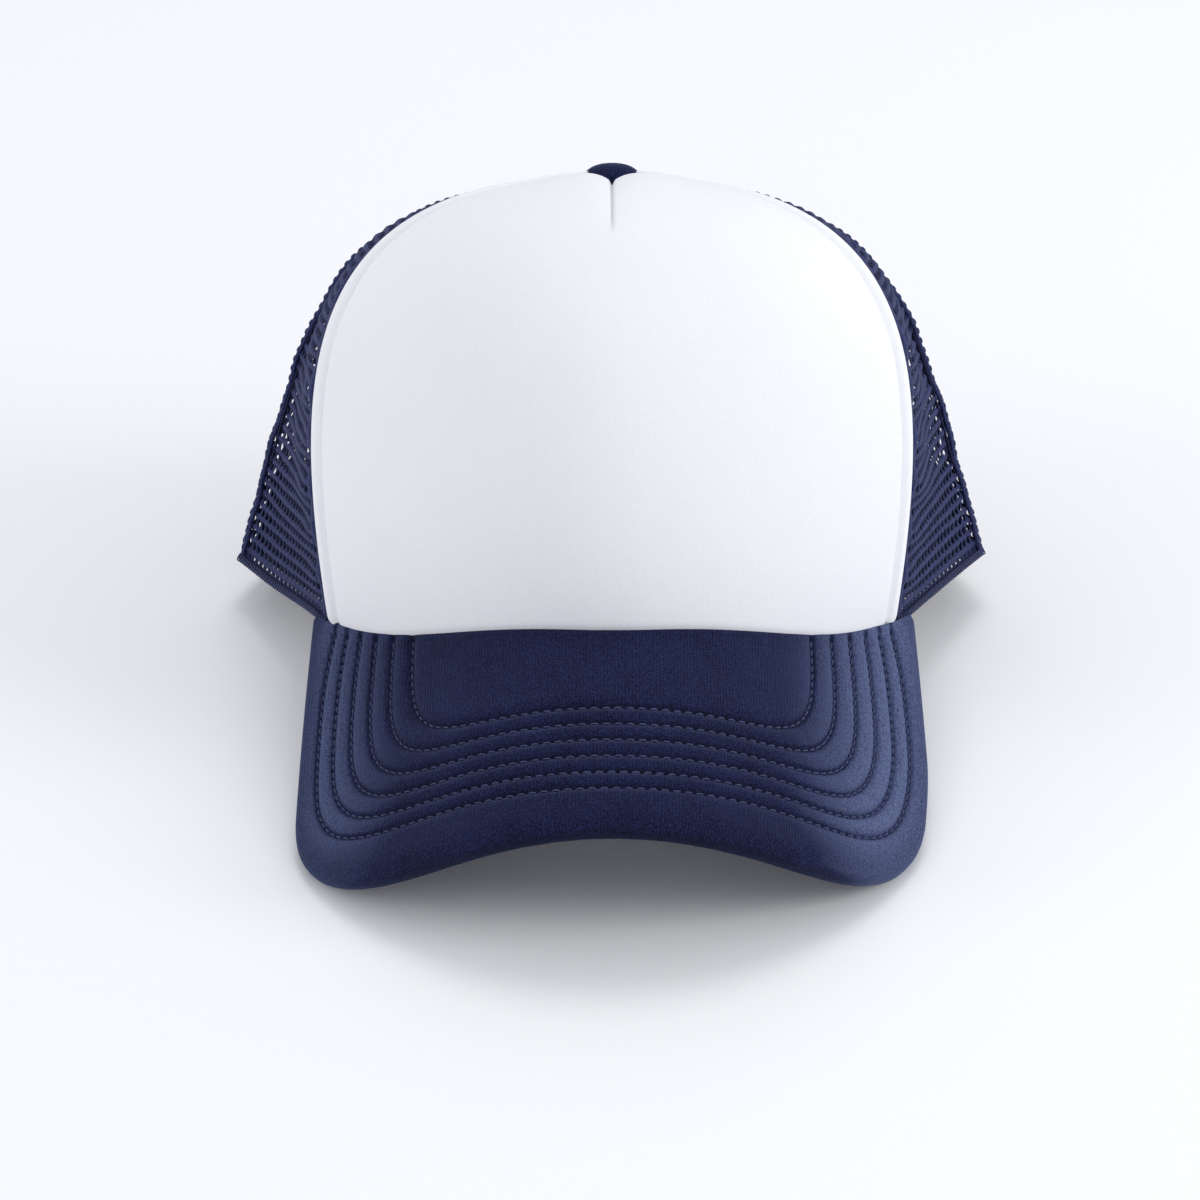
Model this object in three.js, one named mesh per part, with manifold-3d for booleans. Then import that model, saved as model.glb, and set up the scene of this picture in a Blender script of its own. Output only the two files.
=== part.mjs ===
// Five-panel trucker mesh cap with a snap closure, standing on a table as it is stored.
// Millimetres. +Z up, the bill points to -Y, the wearer's left is +X.
// The crown is worked out from the middle of the bill seam and then moved so that the
// origin is at the middle of the underside of the whole cap.
import * as THREE from 'three';
import { mergeVertices } from 'three/addons/utils/BufferGeometryUtils.js';
import Module from 'manifold-3d';

const wasm = await Module();
wasm.setup();

const V3 = (x, y, z) => new THREE.Vector3(x, y, z);
const radians = THREE.MathUtils.degToRad;

// ---------------------------------------------------------------- driving dimensions

// Bill, drawn flat and then rolled across its width. "Across" is measured along the roll
// from the middle, "ahead" from the middle of the seam towards the front edge.
const BILL = {
  droop: radians(13), // slope of the middle line below level
  curl: 0.0168, // roll per mm at the middle, in radians
  curlLoss: 0.625, // share of the roll lost at 90 mm across
  curlReach: 90,
  halfWidth: 91.3,
  length: 66.5,
  widestAhead: 20.5,
  cornerPower: 2.54, // roundness of the front corners
  hornAcross: 90,
  seamReach: 94, // the seam line would turn straight back this far across
  seamDepth: 58.3,
  seamPower: 1.39, // roundness of the seam line
  seamSoften: 5, // rounds its point at the middle
  cover: 0.7,
  padding: 1.2,
  board: 1.6,
  layerGap: 0.4,
  edgeRound: 2.2,
};

// Base line of the crown behind the bill, from the horn round the side to the back.
const SIDE_CORNER = V3(101.5, 108.5, -40.5);
const BACK_CENTRE = V3(0, 167.5, -54.2);
const HORN_LEAD = V3(6, 15, -4);
const SIDE_CORNER_TRAIL = 0.33;
const BACK_LEAD = V3(87.5, 145.5, -54.2);
const BACK_REACH = 52.5;

// Each line up the crown is a curve from the base to the button. These say how it leaves
// the base and how it arrives, at the middle of the front, the front seam, the side seam
// and the middle of the back.
const CROWN_TOP = V3(0, 90, 80.5);
const CROWN_TOP_SLOPE = radians(30);
const FRONT_SEAM = 100; // mm along the base line from the middle of the front
const RISE_OUT = [0, 8.5, -22, 0];
const RISE_BACK = [4.2, 6.8, 3, -4.8];
const RISE_UP = [63, 71.7, 78, 62.5];
const TOP_REACH = [60, 81, 83.5, 58.7];
const TOP_AZIMUTH = [0, 78, 111, 180];

// Cloth and foam layers of the crown, as depths under the outer surface.
const FACE = { outer: 0, inner: 0.8 };
const FOAM = { outer: 1.1, inner: 4.1 };
const MESH = { outer: 0, inner: 1 };
const BINDING = { outer: -0.4, inner: 1.5 };
const TAPE = { outer: 2.1, inner: 2.8 };
const BILL_TAPE = { outer: 4.4, inner: 5.1 };
const BAND_DEPTH_FRONT = 5.4;
const BAND_DEPTH_BACK = 4.4;
const BAND_THICKNESS = 1.4;
const BAND_HEIGHT = 30;

const BASE_CLEAR = 0.5; // everything in the crown starts this far above the bill seam
const HEM_HEIGHT = 4;
const HEM_DIP = 3; // the back of the hem reaches this far lower, to stand on the table
const TOP_HOLE = 4; // radius of the hole that the button's rivet passes through
const EDGE_GAP = 0.2; // each panel stops this far from its seam line
const TAPE_WIDTH = 8;

// Closure: an arch cut in the back, with a strap from each of its feet.
const ARCH = { halfWidth: 50, height: 58, power: 2.2, binding: 5 };
const STRAP = {
  root: 47.5, // from the middle of the back to the flex line, along the base
  middle: 8, // height of the strap's middle line above the hem
  height: 14.6,
  tipHeight: 12,
  thickness: 1,
  lift: 0.7,
  outerApexDepth: 2,
  innerApexDepth: 3.8,
  rootDepth: 3.1,
  tip: 25.5,
  pitch: 9.5,
  holes: 7,
  engaged: 2, // pitches to each side of the middle where a peg sits in a hole
  holeRadius: 2.2,
  pegRadius: 1.45,
  pegTop: 2.9, // above the middle of the strap that it stands on
  tabLength: 14,
  tabGap: 0.8,
};

const BUTTON = { radius: 7.3, height: 3.8, lift: 0.4, cover: 0.8, shell: 0.6, gap: 0.3 };
const RIVET = { stem: 1.3, washer: 6, washerThickness: 0.6, washerDepth: 3.1 };
const ROUND_STEPS = 20;

// ---------------------------------------------------------------- materials

const material = (color, roughness, metalness = 0) =>
  new THREE.MeshStandardMaterial({ color, roughness, metalness });
const NAVY_CLOTH = material(0x262c55, 0.85);
const NAVY_MESH = material(0x2c3360, 0.75);
const WHITE_CLOTH = material(0xeeeff6, 0.8);
const FOAM_MATERIAL = material(0xf4f4f0, 0.95);
const BOARD_PLASTIC = material(0xe8e8e4, 0.5);
const STRAP_PLASTIC = material(0x232950, 0.45);
const METAL = material(0xb8babd, 0.35, 1);

// ---------------------------------------------------------------- bill surface

function billRoll(across) {
  const share = across / BILL.curlReach;
  return BILL.curl * across * (1 - BILL.curlLoss * share * share);
}

// Sideways run and drop of the rolled sheet at a distance across it, by the midpoint rule.
function rolled(across) {
  const steps = 24;
  const step = across / steps;
  let run = 0;
  let drop = 0;
  for (let i = 0; i < steps; i += 1) {
    const angle = billRoll((i + 0.5) * step);
    run += Math.cos(angle) * step;
    drop += Math.sin(angle) * step;
  }
  return { run, drop };
}

const BILL_AHEAD = V3(0, -Math.cos(BILL.droop), -Math.sin(BILL.droop));
const BILL_NORMAL = V3(0, -Math.sin(BILL.droop), Math.cos(BILL.droop));

function billPoint(across, ahead, depth = 0) {
  const { run, drop } = rolled(across);
  const angle = billRoll(across);
  return V3(run - depth * Math.sin(angle), 0, 0)
    .addScaledVector(BILL_AHEAD, ahead)
    .addScaledVector(BILL_NORMAL, -drop - depth * Math.cos(angle));
}

// How far ahead of the middle of the seam the seam line lies: less than 0, so behind it.
function seamAhead(across) {
  const softened = Math.hypot(across, BILL.seamSoften) - BILL.seamSoften;
  const reach = Math.hypot(BILL.seamReach, BILL.seamSoften) - BILL.seamSoften;
  const rest = 1 - (softened / reach) ** BILL.seamPower;
  return -BILL.seamDepth * (1 - rest ** (1 / BILL.seamPower));
}

const HORN_AHEAD = seamAhead(BILL.hornAcross);

// The two edges of the flat bill pattern for one half, as curves from the middle to the horn.
class SeamEdge extends THREE.Curve {
  getPoint(t, target = new THREE.Vector2()) {
    const across = BILL.hornAcross * (1 - (1 - t) ** 2);
    return target.set(across, seamAhead(across));
  }
}

class FrontEdge extends THREE.Curve {
  getPoint(t, target = new THREE.Vector2()) {
    const corner = 0.6; // share of the curve's parameter spent on the rounded front
    if (t < corner) {
      const angle = (t / corner) * (Math.PI / 2);
      const power = 2 / BILL.cornerPower;
      const across = BILL.halfWidth * Math.sin(angle) ** power;
      const ahead = (BILL.length - BILL.widestAhead) * Math.max(0, Math.cos(angle)) ** power;
      return target.set(across, BILL.widestAhead + ahead);
    }
    const down = (t - corner) / (1 - corner);
    const across = BILL.halfWidth + (BILL.hornAcross - BILL.halfWidth) * down ** 2;
    return target.set(across, BILL.widestAhead + (HORN_AHEAD - BILL.widestAhead) * down);
  }
}

const seamEdge = new SeamEdge();
const frontEdge = new FrontEdge();

// A point of the flat pattern on the cross line "side" (-1 right horn, 0 middle, 1 left horn),
// "inset" mm in from the seam edge when share is 0 and from the front edge when share is 1.
function patternPoint(side, share, seamInset, frontInset) {
  const from = seamEdge.getPointAt(Math.abs(side));
  const to = frontEdge.getPointAt(Math.abs(side));
  const length = from.distanceTo(to);
  const low = seamInset / length;
  const high = 1 - frontInset / length;
  const point = from.lerp(to, low + (high - low) * share);
  return new THREE.Vector2(Math.sign(side) * point.x, point.y);
}

function billSurface(side, share, seamInset, frontInset, depth) {
  const flat = patternPoint(side, share, seamInset, frontInset);
  return billPoint(flat.x, flat.y, depth);
}

// ---------------------------------------------------------------- crown surface

class BillSeam extends THREE.Curve {
  getPoint(t, target = V3()) {
    const flat = seamEdge.getPoint(t);
    return target.copy(billPoint(flat.x, flat.y));
  }
}

const horn = billPoint(BILL.hornAcross, HORN_AHEAD);
const sideRun = new THREE.CubicBezierCurve3(
  horn,
  horn.clone().add(HORN_LEAD),
  SIDE_CORNER.clone().lerp(horn, SIDE_CORNER_TRAIL),
  SIDE_CORNER,
);
const backRun = new THREE.CubicBezierCurve3(
  SIDE_CORNER,
  BACK_LEAD,
  V3(BACK_REACH, BACK_CENTRE.y, BACK_CENTRE.z),
  BACK_CENTRE,
);
const baseLine = new THREE.CurvePath();
[new BillSeam(), sideRun, backRun].forEach((run) => baseLine.add(run));
const [HORN_AT, SIDE_SEAM, BACK_SEAM] = baseLine.getCurveLengths();
const KNOTS = [0, FRONT_SEAM, SIDE_SEAM, BACK_SEAM];

// Smooth curve through four values at the four knots. endSlopes false keeps it level at
// the middle of the front and back, so the two halves of the cap join without a ridge.
function blend(values, at, endSlopes = false) {
  const slope = (a, b) => (values[b] - values[a]) / (KNOTS[b] - KNOTS[a]);
  const ends = endSlopes ? [slope(0, 1), slope(2, 3)] : [0, 0];
  const slopes = [ends[0], slope(0, 2), slope(1, 3), ends[1]];
  const i = at < KNOTS[1] ? 0 : at < KNOTS[2] ? 1 : 2;
  const width = KNOTS[i + 1] - KNOTS[i];
  const w = (at - KNOTS[i]) / width;
  const keep = 2 * w ** 3 - 3 * w ** 2 + 1;
  const startPull = (w ** 3 - 2 * w ** 2 + w) * width * slopes[i];
  const endPull = (w ** 3 - w ** 2) * width * slopes[i + 1];
  return keep * values[i] + startPull + (1 - keep) * values[i + 1] + endPull;
}

const lineCache = new Map();

// The line up the crown from a place on the base line (0 to BACK_SEAM) to the button.
function crownLine(at) {
  const key = at.toFixed(4);
  if (!lineCache.has(key)) {
    const base = baseLine.getPoint(Math.min(1, at / BACK_SEAM));
    const rise = V3(blend(RISE_OUT, at), blend(RISE_BACK, at), blend(RISE_UP, at));
    const azimuth = radians(blend(TOP_AZIMUTH, at, true));
    const arrival = V3(
      Math.sin(azimuth),
      -Math.cos(azimuth) * Math.cos(CROWN_TOP_SLOPE),
      Math.cos(azimuth) * Math.sin(CROWN_TOP_SLOPE),
    );
    const above = CROWN_TOP.clone().addScaledVector(arrival, blend(TOP_REACH, at));
    const line = new THREE.CubicBezierCurve3(base, base.clone().add(rise), above, CROWN_TOP);
    lineCache.set(key, line);
  }
  return lineCache.get(key);
}

// "at" is signed: positive on the wearer's left, negative on the right. A height below 0
// carries straight on downwards.
function crownOuter(at, height) {
  const folded = Math.abs(at) > BACK_SEAM ? 2 * BACK_SEAM - Math.abs(at) : Math.abs(at);
  const side = Math.abs(at) > BACK_SEAM ? -Math.sign(at) : Math.sign(at) || 1;
  const line = crownLine(folded);
  const point = line.getPointAt(THREE.MathUtils.clamp(height / line.getLength(), 0, 1));
  point.addScaledVector(line.getTangentAt(0), Math.min(0, height));
  return V3(side * point.x, point.y, point.z);
}

function crownHeight(at) {
  return crownLine(Math.min(Math.abs(at), 2 * BACK_SEAM - Math.abs(at))).getLength();
}

// A point at a depth under the crown's outer surface, moved "shift" mm along the cap's girth.
function crownPoint(at, height, depth, shift = 0) {
  const step = 0.5;
  const along = crownOuter(at + step, height).sub(crownOuter(at - step, height)).normalize();
  const up = crownOuter(at, height + step).sub(crownOuter(at, height - step)).normalize();
  const normal = along.clone().cross(up).normalize();
  return crownOuter(at, height).addScaledVector(normal, -depth).addScaledVector(along, shift);
}

// ---------------------------------------------------------------- closed bodies

// A closed geometry from its vertices and triangles, turned so that its faces point out.
function closedBody(points, triangles) {
  let volume = 0;
  triangles.forEach(([a, b, c]) => {
    volume += points[a].dot(points[b].clone().cross(points[c]));
  });
  const ordered = volume < 0 ? triangles.map(([a, b, c]) => [a, c, b]) : triangles;
  const geometry = new THREE.BufferGeometry();
  const positions = points.flatMap((point) => point.toArray());
  geometry.setAttribute('position', new THREE.Float32BufferAttribute(positions, 3));
  geometry.setIndex(ordered.flat());
  geometry.computeVertexNormals();
  return geometry;
}

// A closed body swept through sections: place(section, point) gives the position of each
// point of a closed outline in each section. The outline runs along one face and back
// along the other with the same number of points, so the ends are closed by a strip of
// quads between the two faces.
function loft(sections, outline, place) {
  const count = outline.length;
  const points = sections.flatMap((section) => outline.map((point) => place(section, point)));
  const triangles = [];
  const quad = (a, b, c, d) => triangles.push([a, b, c], [a, c, d]);
  for (let i = 0; i < sections.length - 1; i += 1) {
    const start = i * count;
    for (let j = 0; j < count; j += 1) {
      const next = (j + 1) % count;
      quad(start + j, start + next, start + count + next, start + count + j);
    }
  }
  const end = (sections.length - 1) * count;
  for (let j = 0; j < count / 2 - 1; j += 1) {
    const back = count - 1 - j;
    quad(j, back, back - 1, j + 1);
    quad(end + j, end + j + 1, end + back - 1, end + back);
  }
  return closedBody(points, triangles);
}

const range = (from, to, steps) =>
  Array.from({ length: steps + 1 }, (_, i) => from + ((to - from) * i) / steps);

// Outline of a layer seen edge on: x runs 0 to 1 up the panel, y is 0 outside and 1 inside.
function layerOutline(rows) {
  const up = range(0, 1, rows);
  const outside = up.map((x) => new THREE.Vector2(x, 0));
  const inside = up.reverse().map((x) => new THREE.Vector2(x, 1));
  return [...outside, ...inside];
}

const depthOf = (layer, y) => THREE.MathUtils.lerp(layer.outer, layer.inner, y);

// A panel of the crown between two heights that may change along it. The first and last
// columns move in from the seam lines by the edge gap.
function crownPanel(columns, rows, layer, low, high, gap = EDGE_GAP) {
  const last = columns.length - 1;
  const forward = Math.sign(columns[last] - columns[0]);
  return loft(range(0, last, last), layerOutline(rows), (index, point) => {
    const column = Math.round(index);
    const at = columns[column];
    const height = THREE.MathUtils.lerp(low(at), high(at), point.x);
    const shift = column === 0 ? gap * forward : column === last ? -gap * forward : 0;
    return crownPoint(at, height, depthOf(layer, point.y), shift);
  });
}

function toSolid(geometry) {
  const plain = geometry.clone();
  ['normal', 'uv'].forEach((name) => plain.deleteAttribute(name));
  const merged = mergeVertices(plain, 1e-4);
  const vertProperties = new Float32Array(merged.attributes.position.array);
  const triVerts = new Uint32Array(merged.index.array);
  return new wasm.Manifold(new wasm.Mesh({ numProp: 3, vertProperties, triVerts }));
}

function toGeometry(solid) {
  const mesh = solid.getMesh();
  const geometry = new THREE.BufferGeometry();
  geometry.setAttribute('position', new THREE.Float32BufferAttribute(mesh.vertProperties, 3));
  geometry.setIndex(Array.from(mesh.triVerts));
  geometry.computeVertexNormals();
  return geometry;
}

// ---------------------------------------------------------------- assembly

const cap = new THREE.Group();

function add(name, geometry, look) {
  const mesh = new THREE.Mesh(geometry, look);
  mesh.name = name;
  cap.add(mesh);
}

// The same piece on the left (side 1) and the right (side -1) of the cap.
function addPair(name, build, look) {
  add(`${name}_left`, build(1), look);
  add(`${name}_right`, build(-1), look);
}

const fromBase = () => BASE_CLEAR;
const upTo = (distance) => (at) => crownHeight(at) - distance;
const GROUND = BACK_CENTRE.z;

// The foam shares the face's columns and rows, so the two stay parallel, and stops one
// row short of the button.
function addFrontPanel() {
  const columns = range(-FRONT_SEAM, FRONT_SEAM, 26);
  const rows = 16;
  const top = upTo(TOP_HOLE);
  add('front_panel_face', crownPanel(columns, rows, FACE, fromBase, top), WHITE_CLOTH);
  const foamTop = (at) => THREE.MathUtils.lerp(BASE_CLEAR, top(at), (rows - 1) / rows);
  const foam = crownPanel(columns, rows - 1, FOAM, fromBase, foamTop);
  add('front_panel_foam', foam, FOAM_MATERIAL);
}

// Height of the arch's edge above the base line at a distance from the middle of the back.
function archHeight(fromMiddle, grow) {
  const share = Math.min(1, fromMiddle / (ARCH.halfWidth + grow));
  return (ARCH.height + grow) * (1 - share ** ARCH.power) ** (1 / ARCH.power);
}

function addMeshPanels() {
  const hemTop = HEM_HEIGHT + 0.3;
  addPair('side_mesh', (side) => {
    const columns = [...range(FRONT_SEAM, HORN_AT, 1), ...range(HORN_AT, SIDE_SEAM, 6).slice(1)];
    const signed = columns.map((at) => side * at);
    return crownPanel(signed, 15, MESH, () => hemTop, upTo(TOP_HOLE));
  }, NAVY_MESH);
  addPair('rear_mesh', (side) => {
    const clear = ARCH.binding + 0.3;
    const foot = BACK_SEAM - ARCH.halfWidth - clear;
    const overArch = range(0, Math.PI / 2, 8).slice(1)
      .map((angle) => BACK_SEAM - (ARCH.halfWidth + clear) * Math.cos(angle));
    const columns = [...range(SIDE_SEAM, foot, 7), ...overArch].map((at) => side * at);
    const low = (at) => Math.max(hemTop, archHeight(BACK_SEAM - Math.abs(at), clear));
    return crownPanel(columns, 14, MESH, low, upTo(TOP_HOLE));
  }, NAVY_MESH);
}

// The hem binding is cut off level where it stands on the table behind.
function addHems() {
  addPair('side_hem', (side) => {
    const foot = BACK_SEAM - ARCH.halfWidth - ARCH.binding - 0.1;
    const columns = [
      ...range(FRONT_SEAM, HORN_AT, 2),
      ...range(HORN_AT, SIDE_SEAM, 6).slice(1),
      ...range(SIDE_SEAM, foot, 9).slice(1),
    ].map((at) => side * at);
    const low = (at) => THREE.MathUtils.lerp(
      BASE_CLEAR,
      -HEM_DIP,
      THREE.MathUtils.smoothstep(Math.abs(at), SIDE_SEAM + 10, SIDE_SEAM + 50),
    );
    const hem = toSolid(crownPanel(columns, 1, BINDING, low, () => HEM_HEIGHT));
    const table = new THREE.BoxGeometry(400, 400, 20);
    table.translate(0, 100, GROUND - 10);
    return toGeometry(hem.subtract(toSolid(table)));
  }, NAVY_CLOTH);
}

function addArchBinding() {
  const steps = 22;
  const angles = range(0, Math.PI, steps);
  const outline = layerOutline(1);
  const binding = loft(angles, outline, (angle, point) => {
    const grow = point.x * ARCH.binding;
    const power = 2 / ARCH.power;
    const sideways = Math.abs(Math.cos(angle)) ** power * (ARCH.halfWidth + grow);
    const height = Math.abs(Math.sin(angle)) ** power * (ARCH.height + grow);
    const side = Math.sign(Math.cos(angle)) || 1;
    const at = BACK_SEAM - side * sideways;
    return crownPoint(at, Math.max(BASE_CLEAR, height), depthOf(BINDING, point.y));
  });
  add('arch_binding', binding, NAVY_CLOTH);
}

function addTapes() {
  const half = TAPE_WIDTH / 2;
  const tape = (from, to, low, high) =>
    crownPanel(range(from, to, 2), 14, TAPE, low, high, 0);
  const aboveBand = () => BAND_HEIGHT + 1;
  addPair('front_seam_tape', (side) => {
    const from = FRONT_SEAM + 1.5;
    return tape(side * from, side * (from + TAPE_WIDTH - 1), aboveBand, upTo(45));
  }, NAVY_CLOTH);
  addPair('side_seam_tape', (side) => {
    const from = side * (SIDE_SEAM - half);
    return tape(from, side * (SIDE_SEAM + half), aboveBand, upTo(26));
  }, NAVY_CLOTH);
  const aboveArch = () => ARCH.height + ARCH.binding + 1;
  add('back_seam_tape', tape(BACK_SEAM - half, BACK_SEAM + half, aboveArch, upTo(14)), NAVY_CLOTH);
  const billTape = range(-(FRONT_SEAM - 4), FRONT_SEAM - 4, 24);
  const tapeBody = crownPanel(billTape, 1, BILL_TAPE, fromBase, () => 12, 0);
  add('bill_seam_tape', tapeBody, NAVY_CLOTH);
}

// The band lies against the foam in front and closer to the mesh behind.
function addSweatband() {
  const end = BACK_SEAM - ARCH.halfWidth - 1;
  const half = [...range(0, HORN_AT, 13), ...range(HORN_AT, SIDE_SEAM, 5).slice(1),
    ...range(SIDE_SEAM, end, 7).slice(1)];
  const columns = [...half.slice(1).reverse().map((at) => -at), ...half];
  const sweatband = loft(columns, layerOutline(2), (at, point) => {
    const towardsBack = THREE.MathUtils.smoothstep(Math.abs(at), FRONT_SEAM, FRONT_SEAM + 25);
    const outer = THREE.MathUtils.lerp(BAND_DEPTH_FRONT, BAND_DEPTH_BACK, towardsBack);
    const height = THREE.MathUtils.lerp(1, BAND_HEIGHT, point.x);
    return crownPoint(at, height, outer + BAND_THICKNESS * point.y);
  });
  add('sweatband', sweatband, NAVY_CLOTH);
}

// ---- bill: two covers, a padding and a stiff board between them

const BILL_SIDES = range(-0.95, 0.95, 30);

function billLayer(outer, inner, seamInset, frontInset, columns) {
  return loft(BILL_SIDES, layerOutline(columns), (side, point) => {
    const depth = depthOf({ outer, inner }, point.y);
    return billSurface(side, point.x, seamInset, frontInset, depth);
  });
}

function addBill() {
  const { cover, padding, board, layerGap, edgeRound } = BILL;
  const paddingTop = cover + layerGap;
  const boardTop = paddingTop + padding + layerGap;
  const under = boardTop + board + layerGap;
  const seamInset = 0.4;
  const inside = cover + layerGap;

  // Closed outline of the top cover in (share across the bill, depth): it turns down
  // round the edge of the padding and board. Shares are measured on the middle line.
  const back = (distance) => 1 - distance / BILL.length;
  const outline = [
    [0, 0], [0.25, 0], [0.5, 0], [0.75, 0], [back(edgeRound), 0], [back(0.6), edgeRound * 0.35],
    [1, edgeRound], [1, under - 0.6], [back(cover), under - 0.6], [back(cover), edgeRound],
    [back(edgeRound * 0.7), cover * 1.3], [back(edgeRound), cover], [0.75, cover], [0.5, cover],
    [0.25, cover], [0, cover],
  ].map(([x, y]) => new THREE.Vector2(x, y));
  const topCover = loft(BILL_SIDES, outline, (side, point) =>
    billSurface(side, point.x, seamInset, 0, point.y));
  add('bill_top_cover', topCover, NAVY_CLOTH);

  const edge = edgeRound + layerGap;
  add('bill_padding', billLayer(paddingTop, paddingTop + padding, seamInset, edge, 3), FOAM_MATERIAL);
  add('bill_board', billLayer(boardTop, boardTop + board, seamInset, inside + 0.6, 3), BOARD_PLASTIC);
  add('bill_bottom_cover', billLayer(under, under + cover, seamInset, 0.2, 3), NAVY_CLOTH);
}

// ---- button on the crown, held by a rivet through the hole in the panels

function addButton() {
  const seat = new THREE.Group();
  seat.position.copy(CROWN_TOP);
  seat.rotation.x = -CROWN_TOP_SLOPE;
  cap.add(seat);
  const turned = (name, profile, look) => {
    const geometry = new THREE.LatheGeometry(profile, ROUND_STEPS);
    geometry.rotateX(Math.PI / 2);
    const mesh = new THREE.Mesh(geometry, look);
    mesh.name = name;
    seat.add(mesh);
  };
  // From the rim up to the middle. Its last point is exactly on the axis.
  const dome = (radius, height, base) => range(Math.PI / 2, 0, 6)
    .map((angle) => new THREE.Vector2(radius * Math.sin(angle), base + height * Math.cos(angle)));
  const shell = (radius, height, thickness, base) => [
    ...dome(radius - thickness, height - base - thickness, base).reverse(),
    ...dome(radius, height - base, base),
  ];
  const { radius, height, lift, cover, shell: metal, gap } = BUTTON;
  const rise = cover + gap;
  turned('button_cover', shell(radius, height, cover, lift), NAVY_CLOTH);
  turned('button_shell', shell(radius - rise, height - rise, metal, lift), METAL);
  const { stem, washer, washerThickness, washerDepth } = RIVET;
  const bottom = -washerDepth - washerThickness;
  const stemTop = height - rise - metal - gap - 0.5;
  turned('button_rivet', [
    [0, bottom], [washer, bottom], [washer, -washerDepth], [stem, -washerDepth],
    [stem, stemTop], [0, stemTop],
  ].map(([x, y]) => new THREE.Vector2(x, y)), METAL);
}

// ---- snap closure

// Arc in plan from the flex line at one foot of the arch, over the middle of the back.
function strapArc(apexDepth) {
  const root = crownPoint(BACK_SEAM - STRAP.root, STRAP.middle, STRAP.rootDepth);
  const apexY = crownPoint(BACK_SEAM, STRAP.middle, apexDepth).y;
  const sagitta = apexY - root.y;
  const radius = (root.x ** 2 + sagitta ** 2) / (2 * sagitta);
  return { root, radius, centreY: apexY - radius };
}

// side 1 starts at the wearer's left foot of the arch. A strap is a thin arc in plan, cut
// to a tongue shape seen from behind.
function strapBody(side, arc) {
  const half = STRAP.thickness / 2;
  const { root, radius, centreY } = arc;
  const rootAngle = Math.asin(root.x / radius);
  const tipAngle = -Math.asin(STRAP.tip / radius);
  const at = (angle, r) =>
    new THREE.Vector2(side * r * Math.sin(angle), centreY + r * Math.cos(angle));
  const outside = range(rootAngle, tipAngle, 16).map((angle) => at(angle, radius + half));
  const inside = range(tipAngle, rootAngle, 16).map((angle) => at(angle, radius - half));
  const rootMiddle = at(rootAngle, radius);
  const backwards = side > 0 ? -rootAngle : Math.PI + rootAngle;
  const rootEnd = range(-Math.PI / 2, Math.PI / 2, 6).slice(1, -1).map((turn) => {
    const angle = backwards + side * turn;
    return new THREE.Vector2(
      rootMiddle.x + half * Math.cos(angle),
      rootMiddle.y + half * Math.sin(angle),
    );
  });
  const plan = new THREE.Shape([...outside, ...inside, ...rootEnd]);
  const base = GROUND + STRAP.lift;
  const bar = new THREE.ExtrudeGeometry(plan, { depth: STRAP.height, bevelEnabled: false });
  bar.translate(0, 0, base);
  return toSolid(bar).intersect(toSolid(tongue(side, base)));
}

function tongue(side, base) {
  const far = side * 60;
  const tip = -side * STRAP.tip;
  const low = base + (STRAP.height - STRAP.tipHeight) / 2;
  const high = low + STRAP.tipHeight;
  const round = STRAP.tipHeight / 2;
  const shape = new THREE.Shape();
  shape.moveTo(far, base);
  shape.lineTo(side * 34, base);
  shape.lineTo(side * 24, low);
  shape.lineTo(tip + side * round, low);
  shape.quadraticCurveTo(tip, low, tip, low + round);
  shape.quadraticCurveTo(tip, high, tip + side * round, high);
  shape.lineTo(side * 24, high);
  shape.lineTo(side * 34, base + STRAP.height);
  shape.lineTo(far, base + STRAP.height);
  const slab = new THREE.ExtrudeGeometry(shape, { depth: 80, bevelEnabled: false, curveSegments: 5 });
  slab.rotateX(Math.PI / 2);
  slab.translate(0, BACK_CENTRE.y + 30, 0);
  return slab;
}

// A round rod across the strap, index pitches from the middle of the back.
function crossRod(index, arc, radius, from, to, segments) {
  const rod = new THREE.CylinderGeometry(radius, radius, to - from, segments);
  const angle = (index * STRAP.pitch) / arc.radius;
  rod.translate(0, (from + to) / 2, 0);
  rod.rotateZ(-angle);
  rod.translate(0, arc.centreY, GROUND + STRAP.lift + STRAP.height / 2);
  return toSolid(rod);
}

// Pegs stand on the inner strap and pass through the holes of the outer one. The straps
// lie closer together towards their roots, and every peg is as tall as the others.
function addStraps() {
  const outerArc = strapArc(STRAP.outerApexDepth);
  const innerArc = strapArc(STRAP.innerApexDepth);
  const apart = STRAP.innerApexDepth - STRAP.outerApexDepth;
  let holes = strapBody(1, outerArc);
  let pegs = strapBody(-1, innerArc);
  for (let i = -STRAP.engaged; i < STRAP.holes - STRAP.engaged; i += 1) {
    const through = outerArc.radius - 4;
    holes = holes.subtract(crossRod(i, outerArc, STRAP.holeRadius, through, through + 8, 14));
    const spacing = apart * (1 - ((i * STRAP.pitch) / outerArc.root.x) ** 2);
    const foot = outerArc.radius - spacing;
    pegs = pegs.add(crossRod(-i, outerArc, STRAP.pegRadius, foot - 0.2, foot + STRAP.pegTop, 10));
  }
  add('hole_strap', toGeometry(holes), STRAP_PLASTIC);
  add('peg_strap', toGeometry(pegs), STRAP_PLASTIC);
  const layer = { outer: STRAP.rootDepth - 0.5, inner: STRAP.rootDepth + 0.5 };
  addPair('strap_tab', (side) => {
    const end = BACK_SEAM - STRAP.root - STRAP.thickness / 2 - STRAP.tabGap;
    const columns = range(end - STRAP.tabLength, end, 3).map((at) => side * at);
    return crownPanel(columns, 1, layer, () => STRAP.lift + 0.3, () => STRAP.height, 0);
  }, STRAP_PLASTIC);
}

addFrontPanel();
addMeshPanels();
addHems();
addArchBinding();
addTapes();
addSweatband();
addBill();
addButton();
addStraps();

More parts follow.
